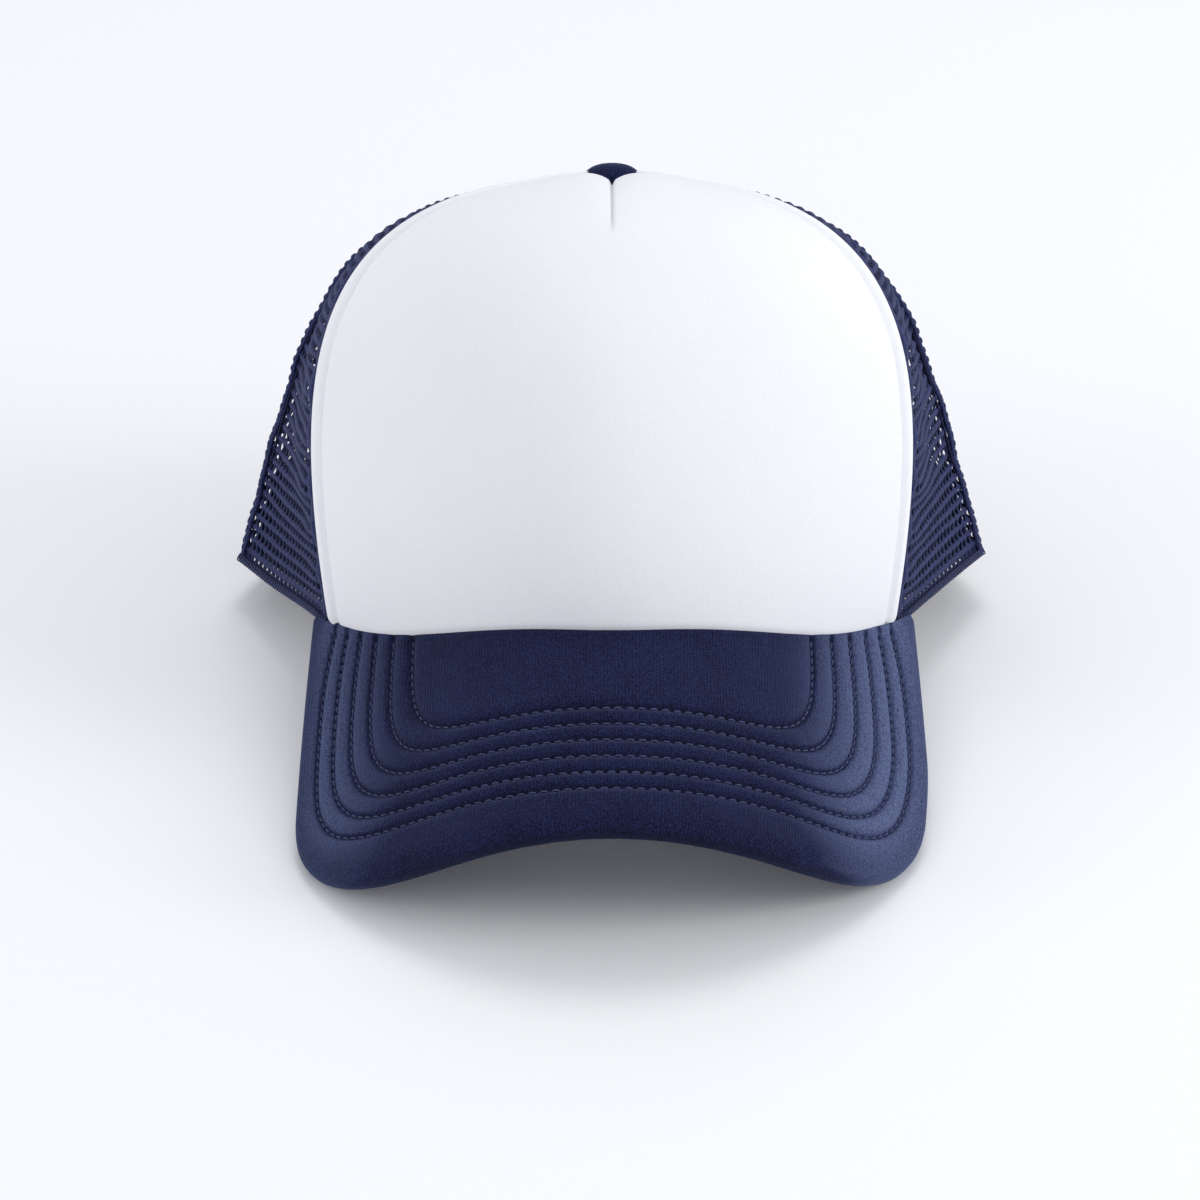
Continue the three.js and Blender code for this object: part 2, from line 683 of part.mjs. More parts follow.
const box = new THREE.Box3().setFromObject(cap, true);
const centre = box.getCenter(V3());
cap.position.set(0, -centre.y, -GROUND);
const object = new THREE.Group();
object.add(cap);

export default object;
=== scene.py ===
"""Looks of a five-panel trucker mesh cap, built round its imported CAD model.

Shapes are worked out in millimetres from the middle of the bill seam, as in the CAD model,
and moved to the frame's place in metres when a mesh is made.
"""
import math

import bpy
import numpy as np
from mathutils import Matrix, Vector


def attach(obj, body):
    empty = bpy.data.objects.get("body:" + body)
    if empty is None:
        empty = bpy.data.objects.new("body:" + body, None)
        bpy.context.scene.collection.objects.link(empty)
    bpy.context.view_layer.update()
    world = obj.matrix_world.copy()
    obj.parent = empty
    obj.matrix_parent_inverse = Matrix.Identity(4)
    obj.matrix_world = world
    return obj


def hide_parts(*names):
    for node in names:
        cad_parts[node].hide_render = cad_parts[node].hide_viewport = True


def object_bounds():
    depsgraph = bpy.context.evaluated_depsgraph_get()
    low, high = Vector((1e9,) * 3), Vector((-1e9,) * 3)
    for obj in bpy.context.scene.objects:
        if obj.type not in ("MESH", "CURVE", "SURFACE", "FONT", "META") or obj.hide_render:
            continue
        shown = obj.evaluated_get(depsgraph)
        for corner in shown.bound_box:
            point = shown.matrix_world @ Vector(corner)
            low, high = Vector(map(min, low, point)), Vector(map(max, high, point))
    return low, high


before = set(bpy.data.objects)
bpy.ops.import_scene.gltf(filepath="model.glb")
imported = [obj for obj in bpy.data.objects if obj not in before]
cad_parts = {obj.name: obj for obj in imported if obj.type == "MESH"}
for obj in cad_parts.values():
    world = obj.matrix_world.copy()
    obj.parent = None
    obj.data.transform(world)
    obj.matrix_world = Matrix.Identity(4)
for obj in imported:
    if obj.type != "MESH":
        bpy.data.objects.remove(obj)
CAD_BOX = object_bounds()

# ---- driving dimensions, mm

BILL_DROOP = math.radians(13)
BILL_CURL = 0.0168
BILL_CURL_LOSS = 0.625
BILL_CURL_REACH = 90
BILL_HALF_WIDTH = 91.3
BILL_LENGTH = 66.5
BILL_WIDEST_AHEAD = 20.5
HORN_ACROSS = 90
SEAM_REACH = 94
SEAM_DEPTH = 58.3
SEAM_POWER = 1.39
SEAM_SOFTEN = 5

SIDE_CORNER = np.array([101.5, 108.5, -40.5])
BACK_CENTRE = np.array([0, 167.5, -54.2])
HORN_LEAD = np.array([6, 15, -4])
SIDE_CORNER_TRAIL = 0.33
BACK_LEAD = np.array([87.5, 145.5, -54.2])
BACK_REACH = 52.5
GROUND = BACK_CENTRE[2]

CROWN_TOP = np.array([0, 90, 80.5])
CROWN_TOP_SLOPE = math.radians(30)
FRONT_SEAM = 100
RISE_OUT = [0, 8.5, -22, 0]
RISE_BACK = [4.2, 6.8, 3, -4.8]
RISE_UP = [63, 71.7, 78, 62.5]
TOP_REACH = [60, 81, 83.5, 58.7]
TOP_AZIMUTH = [0, 78, 111, 180]


# ---- bill surface

def bill_roll(across):
    share = across / BILL_CURL_REACH
    return BILL_CURL * across * (1 - BILL_CURL_LOSS * share**2)


def rolled(across):
    """Sideways run and drop of the rolled sheet at a distance across it, by the midpoint rule."""
    across = np.asarray(across, float)
    steps = (np.arange(24) + 0.5) / 24
    angle = bill_roll(across[..., None] * steps)
    return np.cos(angle).mean(-1) * across, np.sin(angle).mean(-1) * across


def bill_point(across, ahead, depth=0.0):
    across, ahead, depth = np.broadcast_arrays(*np.atleast_1d(across, ahead, depth))
    run, drop = rolled(across)
    angle = bill_roll(across)
    x = run - depth * np.sin(angle)
    fall = drop + depth * np.cos(angle)
    y = -ahead * math.cos(BILL_DROOP) + fall * math.sin(BILL_DROOP)
    z = -ahead * math.sin(BILL_DROOP) - fall * math.cos(BILL_DROOP)
    return np.stack([x, y, z], -1)


def seam_ahead(across):
    """How far ahead of the middle of the seam the seam line lies: less than 0, so behind it."""
    softened = np.hypot(across, SEAM_SOFTEN) - SEAM_SOFTEN
    reach = math.hypot(SEAM_REACH, SEAM_SOFTEN) - SEAM_SOFTEN
    rest = 1 - (softened / reach) ** SEAM_POWER
    return -SEAM_DEPTH * (1 - rest ** (1 / SEAM_POWER))


# ---- crown surface

def bezier(points, t):
    a, b, c, d = points
    s = 1 - t
    return s**3 * a + 3 * s * s * t * b + 3 * s * t * t * c + t**3 * d


def lengths_along(line):
    return np.concatenate([[0], np.cumsum(np.linalg.norm(np.diff(line, axis=0), axis=1))])


def at_lengths(line, wanted):
    """Points of a polyline at distances along it."""
    along = lengths_along(line)
    return np.stack([np.interp(wanted, along, line[:, k]) for k in range(line.shape[1])], -1)


def base_line():
    """The crown's lower edge for one side as a polyline, and how far along it the side seam
    and the back seam lie."""
    t = np.linspace(0, 1, 1201)
    across = HORN_ACROSS * (1 - (1 - t) ** 2)
    seam = bill_point(across, seam_ahead(across))
    horn = seam[-1]
    t = t[1:, None]
    trail = SIDE_CORNER + (horn - SIDE_CORNER) * SIDE_CORNER_TRAIL
    side = bezier([horn, horn + HORN_LEAD, trail, SIDE_CORNER], t)
    reach = np.array([BACK_REACH, BACK_CENTRE[1], BACK_CENTRE[2]])
    back = bezier([SIDE_CORNER, BACK_LEAD, reach, BACK_CENTRE], t)
    line = np.concatenate([seam, side, back])
    along = lengths_along(line)
    return line, along[[len(seam) + len(side) - 1, -1]]


BASE_LINE, (SIDE_SEAM, BACK_SEAM) = base_line()
KNOTS = np.array([0, FRONT_SEAM, SIDE_SEAM, BACK_SEAM])


def blend(values, at, end_slopes=False):
    """Smooth curve through four values at the four knots."""
    values = np.array(values, float)
    secant = np.diff(values) / np.diff(KNOTS)
    wide = (values[2:] - values[:-2]) / (KNOTS[2:] - KNOTS[:-2])
    ends = [secant[0], secant[-1]] if end_slopes else [0, 0]
    slopes = np.array([ends[0], *wide, ends[1]])
    i = np.clip(np.searchsorted(KNOTS, at, side="right") - 1, 0, 2)
    width = KNOTS[i + 1] - KNOTS[i]
    w = (at - KNOTS[i]) / width
    keep = 2 * w**3 - 3 * w**2 + 1
    pull = (w**3 - 2 * w**2 + w) * slopes[i] + (w**3 - w**2) * slopes[i + 1]
    return keep * values[i] + (1 - keep) * values[i + 1] + pull * width


def crown_table(columns=577, rows=241):
    """Points and outward normals of one side of the crown, evenly spaced up each line."""
    at = np.linspace(0, BACK_SEAM, columns)
    base = at_lengths(BASE_LINE, at)
    rise = np.stack([blend(v, at) for v in (RISE_OUT, RISE_BACK, RISE_UP)], -1)
    azimuth = np.radians(blend(TOP_AZIMUTH, at, True))
    level = -np.cos(azimuth)
    arrival = np.stack(
        [np.sin(azimuth), level * math.cos(CROWN_TOP_SLOPE), -level * math.sin(CROWN_TOP_SLOPE)], -1
    )
    above = CROWN_TOP + arrival * blend(TOP_REACH, at)[:, None]
    top = np.broadcast_to(CROWN_TOP, base.shape)
    t = np.linspace(0, 1, 401)[None, :, None]
    lines = bezier([p[:, None, :] for p in (base, base + rise, above, top)], t)
    shares = np.linspace(0, 1, rows)
    height = np.array([lengths_along(line)[-1] for line in lines])
    points = np.stack([at_lengths(line, shares * h) for line, h in zip(lines, height)])
    normals = np.cross(np.gradient(points, axis=0), np.gradient(points, axis=1))
    normals[0, :, 0] = normals[-1, :, 0] = 0
    normals[:, -1] = normals[:, -2]
    normals /= np.linalg.norm(normals, axis=-1, keepdims=True)
    return height, points, normals


CROWN_HEIGHT, CROWN_POINTS, CROWN_NORMALS = crown_table()


def folded(at):
    """The same place on the left half, and which side it is on."""
    beyond = np.abs(at) > BACK_SEAM
    place = np.where(beyond, 2 * BACK_SEAM - np.abs(at), np.abs(at))
    return place, np.where(at < 0, -1.0, 1.0) * np.where(beyond, -1, 1)


def crown_height(at):
    return np.interp(folded(at)[0], np.linspace(0, BACK_SEAM, len(CROWN_HEIGHT)), CROWN_HEIGHT)


def crown_both(at, height, depth=0.0):
    """Points at a depth under the crown's outer surface, and the outward normals there."""
    at, height, depth = np.broadcast_arrays(*np.atleast_1d(at, height, depth))
    place, side = folded(at)
    columns, rows = CROWN_POINTS.shape[:2]
    c = place / BACK_SEAM * (columns - 1)
    r = np.clip(height / crown_height(at), 0, 1) * (rows - 1)
    i = np.clip(c.astype(int), 0, columns - 2)
    j = np.clip(r.astype(int), 0, rows - 2)
    u, v = (c - i)[..., None], (r - j)[..., None]

    def between(table):
        low = table[i, j] * (1 - u) + table[i + 1, j] * u
        high = table[i, j + 1] * (1 - u) + table[i + 1, j + 1] * u
        return low * (1 - v) + high * v

    normal = between(CROWN_NORMALS)
    normal = normal / np.linalg.norm(normal, axis=-1, keepdims=True)
    point = between(CROWN_POINTS)
    start = CROWN_POINTS[i, 1] - CROWN_POINTS[i, 0]
    start = start / np.linalg.norm(start, axis=-1, keepdims=True)
    point = point + start * np.minimum(0, height)[..., None] - normal * depth[..., None]
    flip = np.stack([side, np.ones_like(side), np.ones_like(side)], -1)
    return point * flip, normal * flip


def crown(at, height, depth=0.0):
    return crown_both(at, height, depth)[0]


# ---- layers and details, mm

FACE_THICK = 0.8
FOAM_OUTER, FOAM_INNER = 1.1, 4.1
MESH_DEPTH, MESH_THICK = 0.25, 0.55
MESH_LOW = 1.6  # its lower edge lies in the hem
MESH_RIDGE = 0.24  # the rows between the holes stand out and the rows of holes lie back
TAPE_OUTER, TAPE_INNER = 2.1, 2.8
BILL_TAPE_OUTER, BILL_TAPE_INNER = 4.4, 5.1
BAND_DEPTH_FRONT, BAND_DEPTH_BACK = 5.4, 4.4
BAND_THICK = 1.4
BAND_HEIGHT = 30
BASE_CLEAR = 0.5
HEM_HEIGHT = 2.2
HEM_DIP = 3.0
TOP_HOLE = 4.0
TAPE_WIDTH = 8.0
BILL_COVER_THICK = 0.7
BILL_FOAM = (1.1, 2.3)
BILL_PLATE = (2.7, 4.3)
BILL_UNDER = 4.7

ARCH_HALF_WIDTH = 50.0
ARCH_HEIGHT = 58.0
ARCH_POWER = 2.2
ARCH_BINDING = 5.0

BUTTON_RADIUS = 7.3

STITCH_PITCH = 2.9
STITCH_LENGTH = 2.3
STITCH_RADIUS = 0.24

CELL_ACROSS = 2.9  # one hole of the mesh fabric and the strands round it
CELL_UP = 3.4
HOLE_ACROSS = 0.9  # half sizes of the hole
HOLE_UP = 1.12
HOLE_POWER = 2.6
CELL_SIDES = 12


def world_shift():
    """From the middle of the bill seam to the frame's origin, from where the bill's edge is."""
    edge_round = 2.2
    tip = bill_point(0, BILL_LENGTH, edge_round)[0]
    return np.array([0, CAD_BOX[0][1] * 1000 - tip[1], -GROUND])


SHIFT = world_shift()
LEFT_RIGHT = (("left", 1), ("right", -1))


def to_frame(points):
    return (points + SHIFT) / 1000


# ---- mesh making


class Pile:
    """Vertices, faces and cloth coordinates that are gathered into one mesh object."""

    def __init__(self):
        self.points, self.faces, self.cloth, self.painted_light = [], [], [], []
        self.count = 0

    def add(self, points, faces, cloth=None, painted_light=None):
        points = np.asarray(points, float).reshape(-1, 3)
        if cloth is None:
            cloth = np.zeros((len(points), 2))
        if painted_light is None:
            painted_light = np.zeros(len(points))
        self.painted_light.append(painted_light)
        self.points.append(points)
        self.cloth.append(np.asarray(cloth, float).reshape(-1, 2))
        self.faces += [(np.asarray(f) + self.count).tolist() for f in faces]
        self.count += len(points)
        return self

    def build(self, name, material, sharp=50):
        mesh = bpy.data.meshes.new(name)
        points = to_frame(np.concatenate(self.points))
        faces = [face for group in self.faces for face in group]
        mesh.from_pydata(points.tolist(), [], faces)
        layer = mesh.uv_layers.new(name="cloth")
        corner = np.empty(len(mesh.loops), np.int32)
        mesh.loops.foreach_get("vertex_index", corner)
        layer.data.foreach_set("uv", np.concatenate(self.cloth)[corner].ravel())
        mesh.polygons.foreach_set("use_smooth", np.ones(len(mesh.polygons), bool))
        # Painted shade (above 0) and painted sheen (below 0) at each point, read by the materials.
        painted_light = np.concatenate(self.painted_light)
        if painted_light.any():
            mesh.attributes.new("painted_light", "FLOAT", "POINT").data.foreach_set("value", painted_light)
        mesh.validate()
        mesh.set_sharp_from_angle(angle=math.radians(sharp))
        mesh.materials.append(material)
        piece = bpy.data.objects.new(name, mesh)
        bpy.context.scene.collection.objects.link(piece)
        return piece


def outward(points, faces):
    """The faces, turned round if the body they close is inside out."""
    volume = 0.0
    for group in faces:
        a = points[group[:, 0]]
        for k in range(1, group.shape[1] - 1):
            cross = np.cross(points[group[:, k]], points[group[:, k + 1]])
            volume += np.einsum("ij,ij->", a, cross)
    return [group[:, ::-1] for group in faces] if volume < 0 else faces


def grid_quads(index):
    corners = [index[:-1, :-1], index[1:, :-1], index[1:, 1:], index[:-1, 1:]]
    return np.stack(corners, -1).reshape(-1, 4)


def add_shell(pile, outer, inner, cloth, painted_light=None):
    """A closed sheet between two grids of points with the same rows and columns."""
    columns, rows = outer.shape[:2]
    index = np.arange(columns * rows).reshape(columns, rows)
    under = index + columns * rows
    loop = np.concatenate([index[:, 0], index[-1, 1:], index[-2::-1, -1], index[0, -2:0:-1]])
    below = loop + columns * rows
    walls = np.stack([loop, np.roll(loop, -1), np.roll(below, -1), below], -1)
    points = np.concatenate([outer.reshape(-1, 3), inner.reshape(-1, 3)])
    faces = [grid_quads(index), grid_quads(under)[:, ::-1], walls[:, ::-1]]
    if painted_light is not None:
        painted_light = np.concatenate([painted_light.ravel(), painted_light.ravel()])
    cloth = np.concatenate([cloth, cloth])
    return pile.add(points, outward(points, [np.concatenate(faces)]), cloth, painted_light)


def ring_index(count, sides):
    """Numbers of the points in rings, and the same with each ring's first one again last."""
    index = np.arange(count * sides).reshape(count, sides)
    return index, np.concatenate([index, index[:, :1]], 1)


def add_tube(pile, loops, cloth):
    """A closed body through rings of points with the same count. The ends are flat caps."""
    index, around = ring_index(*loops.shape[:2])
    points = loops.reshape(-1, 3)
    faces = [grid_quads(around), index[:1, ::-1], index[-1:]]
    return pile.add(points, outward(points, faces), cloth)


def turns(count):
    """Angles evenly spaced round a circle."""
    return np.arange(count) / count * 2 * math.pi


def superellipse(angle, power):
    """A unit outline between an ellipse (power 2) and a square (large power)."""
    x, y = np.cos(angle), np.sin(angle)
    return np.stack([np.sign(v) * np.abs(v) ** (2 / power) for v in (x, y)], -1)


def oval(half_width, half_height, steps, power):
    return superellipse(turns(steps), power) * [half_width, half_height]


def unit(vectors):
    return vectors / np.maximum(np.linalg.norm(vectors, axis=-1, keepdims=True), 1e-12)


def smooth_step(x, low, high):
    t = np.clip((x - low) / (high - low), 0, 1)
    return t * t * (3 - 2 * t)


def bump_at(x, centre, width):
    """A bell curve: 1 at the centre, and about a third one width away."""
    return np.exp(-(((x - centre) / width) ** 2))


# ---- thread


def add_stitches(pile, path, normals, pitch=STITCH_PITCH, length=STITCH_LENGTH,
                 radius=STITCH_RADIUS, lift=0.05, rise=0.16):
    """A row of stitches along a line on a surface. Each is an arched thread whose two ends
    dive into the cloth."""
    along = lengths_along(path)
    count = int(along[-1] / pitch)
    if count < 1:
        return
    rings, sides = 7, 6
    middle = (np.arange(count) + 0.5) * along[-1] / count
    share = np.linspace(-1, 1, rings)
    at = middle[:, None] + share * length / 2
    line = np.stack([np.interp(at, along, path[:, k]) for k in range(3)], -1)
    up = unit(np.stack([np.interp(at, along, normals[:, k]) for k in range(3)], -1))
    ahead = unit(np.gradient(line, axis=1))
    across = unit(np.cross(ahead, up))
    height = lift + rise * (1 - share**2) - 0.55 * np.abs(share) ** 6
    line = line + up * height[:, None]
    thick = radius * (1 - 0.45 * share**4)
    turn = turns(sides)
    ring = across[:, :, None] * np.cos(turn)[:, None] + up[:, :, None] * np.sin(turn)[:, None]
    points = line[:, :, None] + ring * thick[None, :, None, None]
    index, around = ring_index(rings, sides)
    quads = grid_quads(around)
    ends = np.stack([index[0, ::-1], index[-1]])
    start = np.arange(count)[:, None, None] * rings * sides
    faces = [(quads[None] + start).reshape(-1, 4), (ends[None] + start).reshape(-1, sides)]
    cloth = np.zeros((count, rings, sides, 2))
    cloth[..., 0] = at[:, :, None]
    cloth[..., 1] = np.arange(sides) * radius
    pile.add(points.reshape(-1, 3), outward(points.reshape(-1, 3), faces), cloth)


# ---- materials


class Nodes:
    """Short ways to make the nodes of one material."""

    def __init__(self, name):
        self.material = bpy.data.materials.new(name)
        self.material.use_nodes = True
        self.tree = self.material.node_tree
        self.shader = self.tree.nodes["Principled BSDF"]

    def node(self, kind, **settings):
        made = self.tree.nodes.new(kind)
        for key, value in settings.items():
            setattr(made, key, value)
        return made

    def put(self, value, socket):
        if isinstance(value, bpy.types.NodeSocket):
            self.tree.links.new(value, socket)
        else:
            socket.default_value = value

    def math(self, operation, *values):
        made = self.node("ShaderNodeMath", operation=operation)
        for value, socket in zip(values, made.inputs):
            self.put(value, socket)
        return made.outputs[0]

    def weighted(self, first, share, second, rest):
        """The first value times its share, plus the second times the rest."""
        return self.math("MULTIPLY_ADD", first, share, self.math("MULTIPLY", second, rest))

    def cloth(self):
        """Across and along the cloth, in mm."""
        split = self.node("ShaderNodeSeparateXYZ")
        self.put(self.node("ShaderNodeUVMap", uv_map="cloth").outputs[0], split.inputs[0])
        return split.outputs[0], split.outputs[1]

    def place(self):
        return self.node("ShaderNodeTexCoord").outputs["Object"]

    def noise(self, scale, detail=3.0, rough=0.55, vector=None, stretch=None):
        made = self.node("ShaderNodeTexNoise")
        made.inputs["Scale"].default_value = scale
        made.inputs["Detail"].default_value = detail
        made.inputs["Roughness"].default_value = rough
        vector = vector or self.place()
        if stretch:
            mapped = self.node("ShaderNodeMapping")
            mapped.inputs["Scale"].default_value = stretch
            self.put(vector, mapped.inputs["Vector"])
            vector = mapped.outputs[0]
        self.put(vector, made.inputs["Vector"])
        return made.outputs["Fac"]

    def spread(self, value, low, high):
        """The value between low and high as 0 to 1, clipped."""
        made = self.node("ShaderNodeMapRange")
        for given, socket in zip((value, low, high), made.inputs):
            self.put(given, socket)
        return made.outputs[0]

    def mix(self, share, first, second):
        made = self.node("ShaderNodeMix", data_type="RGBA")
        self.put(share, made.inputs["Factor"])
        colours = [socket for socket in made.inputs if socket.type == "RGBA"]
        for colour, socket in zip((first, second), colours):
            self.put((*colour, 1) if isinstance(colour, tuple) else colour, socket)
        return [socket for socket in made.outputs if socket.type == "RGBA"][0]

    def with_painted_light(self, colour, dark, painted_sheen=None):
        """The colour with painted shade down in grooves where the painted_light value is above 0,
        and with a painted sheen on its fibres where the value is below 0."""
        painted_light = self.node("ShaderNodeAttribute", attribute_name="painted_light").outputs["Fac"]
        shade = tuple(0.25 * part for part in dark)
        deep = self.math("MULTIPLY", self.math("MAXIMUM", painted_light, 0.0), 0.85)
        colour = self.mix(deep, colour, shade)
        if painted_sheen:
            fibres = self.spread(self.noise(1900, 4.0, 0.65), 0.22, 0.78)
            high = self.math("MAXIMUM", self.math("MULTIPLY", painted_light, -1.0), 0.0)
            colour = self.mix(self.math("MULTIPLY", high, fibres), colour, painted_sheen)
        return colour

    def bump(self, height, strength, distance_mm):
        made = self.node("ShaderNodeBump")
        made.inputs["Strength"].default_value = strength
        made.inputs["Distance"].default_value = distance_mm / 1000
        self.put(height, made.inputs["Height"])
        self.put(made.outputs[0], self.shader.inputs["Normal"])

    def finish(self, colour, roughness, sheen=0.0, sheen_tint=(1, 1, 1), metallic=0.0,
               gloss=0.5):
        self.put(colour, self.shader.inputs["Base Color"])
        self.put(roughness, self.shader.inputs["Roughness"])
        self.shader.inputs["Metallic"].default_value = metallic
        self.shader.inputs["Sheen Weight"].default_value = sheen
        self.shader.inputs["Sheen Tint"].default_value = (*sheen_tint, 1)
        self.shader.inputs["Sheen Roughness"].default_value = 0.35
        self.shader.inputs["Specular IOR Level"].default_value = gloss
        return self.material


FUZZ = (0.32, 0.40, 0.72)  # light caught by the fibres that stand out of navy cloth


def wave(nodes, value, period):
    """0 to 1 and back once every period."""
    turn = nodes.math("MULTIPLY", value, 2 * math.pi / period)
    sine = nodes.math("SINE", turn)
    return nodes.math("MULTIPLY_ADD", sine, 0.5, 0.5)


def knit(name, dark, light, rib, sheen, fuzz=0.5, relief=0.55, painted_sheen=None):
    """Jersey knit: ribs of small V loops, with lighter fibres standing out of it. It gets painted
    shade down in the grooves of its quilting, and a painted sheen where its painted_light value is
    below 0."""
    nodes = Nodes(name)
    across, along = nodes.cloth()
    rib_wave = wave(nodes, across, rib)
    lean = nodes.math("MULTIPLY", rib_wave, rib * 0.7)
    loops = wave(nodes, nodes.math("ADD", along, lean), rib * 0.8)
    fibres = nodes.noise(2600, 4.0, 0.6)
    patches = nodes.noise(60, 3.0)
    height = nodes.weighted(loops, 0.35, rib_wave, 0.65)
    fluffy = nodes.math("MULTIPLY_ADD", fibres, fuzz * 2, height)
    tone = nodes.weighted(nodes.spread(fibres, 0.46, 0.62), 0.65, height, 0.22)
    tone = nodes.math("MULTIPLY_ADD", nodes.spread(patches, 0.3, 0.7), 0.13, tone)
    colour = nodes.mix(tone, dark, light)
    nodes.bump(fluffy, relief, 0.18)
    colour = nodes.with_painted_light(colour, dark, painted_sheen)
    return nodes.finish(colour, 0.85, sheen, FUZZ, gloss=0.1)


def twill(name, dark, light, pitch, sheen=0.2, roughness=0.82):
    """Woven cloth with slanting ridges."""
    nodes = Nodes(name)
    across, along = nodes.cloth()
    ridge = wave(nodes, nodes.math("ADD", across, along), pitch)
    thread = wave(nodes, nodes.math("SUBTRACT", across, along), pitch * 0.6)
    fibres = nodes.noise(2200, 3.0, 0.6)
    height = nodes.weighted(ridge, 0.7, thread, 0.3)
    tone = nodes.weighted(fibres, 0.5, height, 0.5)
    colour = nodes.mix(nodes.spread(tone, 0.25, 0.85), dark, light)
    nodes.bump(nodes.math("MULTIPLY_ADD", fibres, 0.4, height), 0.6, 0.2)
    return nodes.finish(colour, roughness, sheen, FUZZ, gloss=0.15)


def mesh_yarn(name, dark, light):
    """Bundles of filament yarn with small loops wrapped round each strand."""
    nodes = Nodes(name)
    across, along = nodes.cloth()
    wraps = wave(nodes, nodes.math("MULTIPLY_ADD", along, 0.8, across), 0.42)
    cords = wave(nodes, nodes.math("MULTIPLY_ADD", across, -0.5, along), 0.3)
    fibres = nodes.noise(2400, 3.0, 0.6)
    height = nodes.weighted(wraps, 0.6, cords, 0.4)
    tone = nodes.weighted(fibres, 0.6, height, 0.4)
    colour = nodes.mix(nodes.spread(tone, 0.32, 0.74), dark, light)
    nodes.bump(height, 0.6, 0.15)
    # Painted shade where the painted_light value is above 0, in the troughs between the rows of
    # holes.
    colour = nodes.with_painted_light(colour, dark)
    return nodes.finish(colour, 0.6, 0.08, FUZZ, gloss=0.12)


def open_foam(name, dark, light):
    nodes = Nodes(name)
    cells = nodes.node("ShaderNodeTexVoronoi", feature="F1")
    cells.inputs["Scale"].default_value = 1400
    nodes.put(nodes.place(), cells.inputs["Vector"])
    pores = cells.outputs["Distance"]
    cloud = nodes.noise(90, 2.0)
    tone = nodes.weighted(cloud, 0.4, pores, 0.6)
    colour = nodes.mix(nodes.spread(tone, 0.2, 0.7), light, dark)
    nodes.bump(pores, 0.7, 0.25)
    return nodes.finish(colour, 0.95, 0.1, light)


def moulded(name, dark, light, roughness):
    nodes = Nodes(name)
    grain = nodes.noise(1500, 2.0)
    flow = nodes.noise(120, 3.0, stretch=(1, 1, 4))
    colour = nodes.mix(nodes.spread(flow, 0.3, 0.7), dark, light)
    wear = nodes.math("MULTIPLY_ADD", flow, 0.15, roughness - 0.07)
    nodes.bump(grain, 0.25, 0.05)
    return nodes.finish(colour, wear)


def pressed_metal(name, colour, roughness):
    nodes = Nodes(name)
    drawn = nodes.noise(700, 2.0, stretch=(1, 1, 6))
    dull = nodes.math("MULTIPLY_ADD", drawn, 0.2, roughness - 0.1)
    darker = tuple(0.8 * part for part in colour)
    tint = nodes.mix(nodes.spread(drawn, 0.3, 0.7), darker, colour)
    nodes.bump(drawn, 0.15, 0.05)
    return nodes.finish(tint, dull, metallic=1.0)


def sewing_thread(name, dark, light):
    nodes = Nodes(name)
    along, around = nodes.cloth()
    twist = wave(nodes, nodes.math("MULTIPLY_ADD", around, 2.0, along), 0.35)
    colour = nodes.mix(twist, dark, light)
    nodes.bump(twist, 0.5, 0.06)
    return nodes.finish(colour, 0.55, 0.0, gloss=0.3)


WHITE_CLOTH = knit("white_knit", (0.86, 0.86, 0.895), (0.92, 0.92, 0.95), 0.45, 0.0, 0.3, 0.16)
# The navy knit's last colour is its painted sheen, used on the bill's sides.
NAVY_CLOTH = knit("navy_knit", (0.001, 0.0015, 0.008), (0.025, 0.033, 0.115), 0.85, 0.28,
                  painted_sheen=(0.165, 0.205, 0.38))
NAVY_MESH = mesh_yarn("navy_mesh_yarn", (0.002, 0.003, 0.018), (0.070, 0.090, 0.250))
NAVY_TRIM = twill("navy_trim_twill", (0.003, 0.004, 0.017), (0.024, 0.031, 0.094), 0.9, 0.1)
BAND_CLOTH = twill("navy_band_twill", (0.003, 0.004, 0.016), (0.022, 0.028, 0.080), 1.3, 0.1)
FOAM = open_foam("white_foam", (0.70, 0.70, 0.66), (0.88, 0.88, 0.84))
BOARD = moulded("board_plastic", (0.74, 0.74, 0.72), (0.82, 0.82, 0.80), 0.5)
STRAP_PLASTIC = moulded("navy_plastic", (0.008, 0.011, 0.036), (0.016, 0.020, 0.060), 0.42)
METAL = pressed_metal("button_metal", (0.6, 0.6, 0.62), 0.35)
NAVY_THREAD = sewing_thread("navy_thread", (0.010, 0.013, 0.045), (0.110, 0.135, 0.30))
WHITE_THREAD = sewing_thread("white_thread", (0.84, 0.84, 0.88), (0.92, 0.92, 0.95))


# ---- pieces and what they stand for


def place(piece, slot, *nodes, body="cap"):
    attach(piece, body)
    if nodes:
        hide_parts(*nodes)
    return piece


def soften_rim(piece, width_mm=0.25):
    """Rounds the sharp rim of a shell."""
    bevel = piece.modifiers.new("rim", "BEVEL")
    bevel.width = width_mm / 1000
    bevel.segments = 2
    bevel.limit_method = "ANGLE"
    bevel.angle_limit = math.radians(60)
    return piece


# ---- front panel

FOLD_LINE = 4.7  # the pressed line beside each front seam, from the panel's edge
FOLD_STITCHES = 4.6


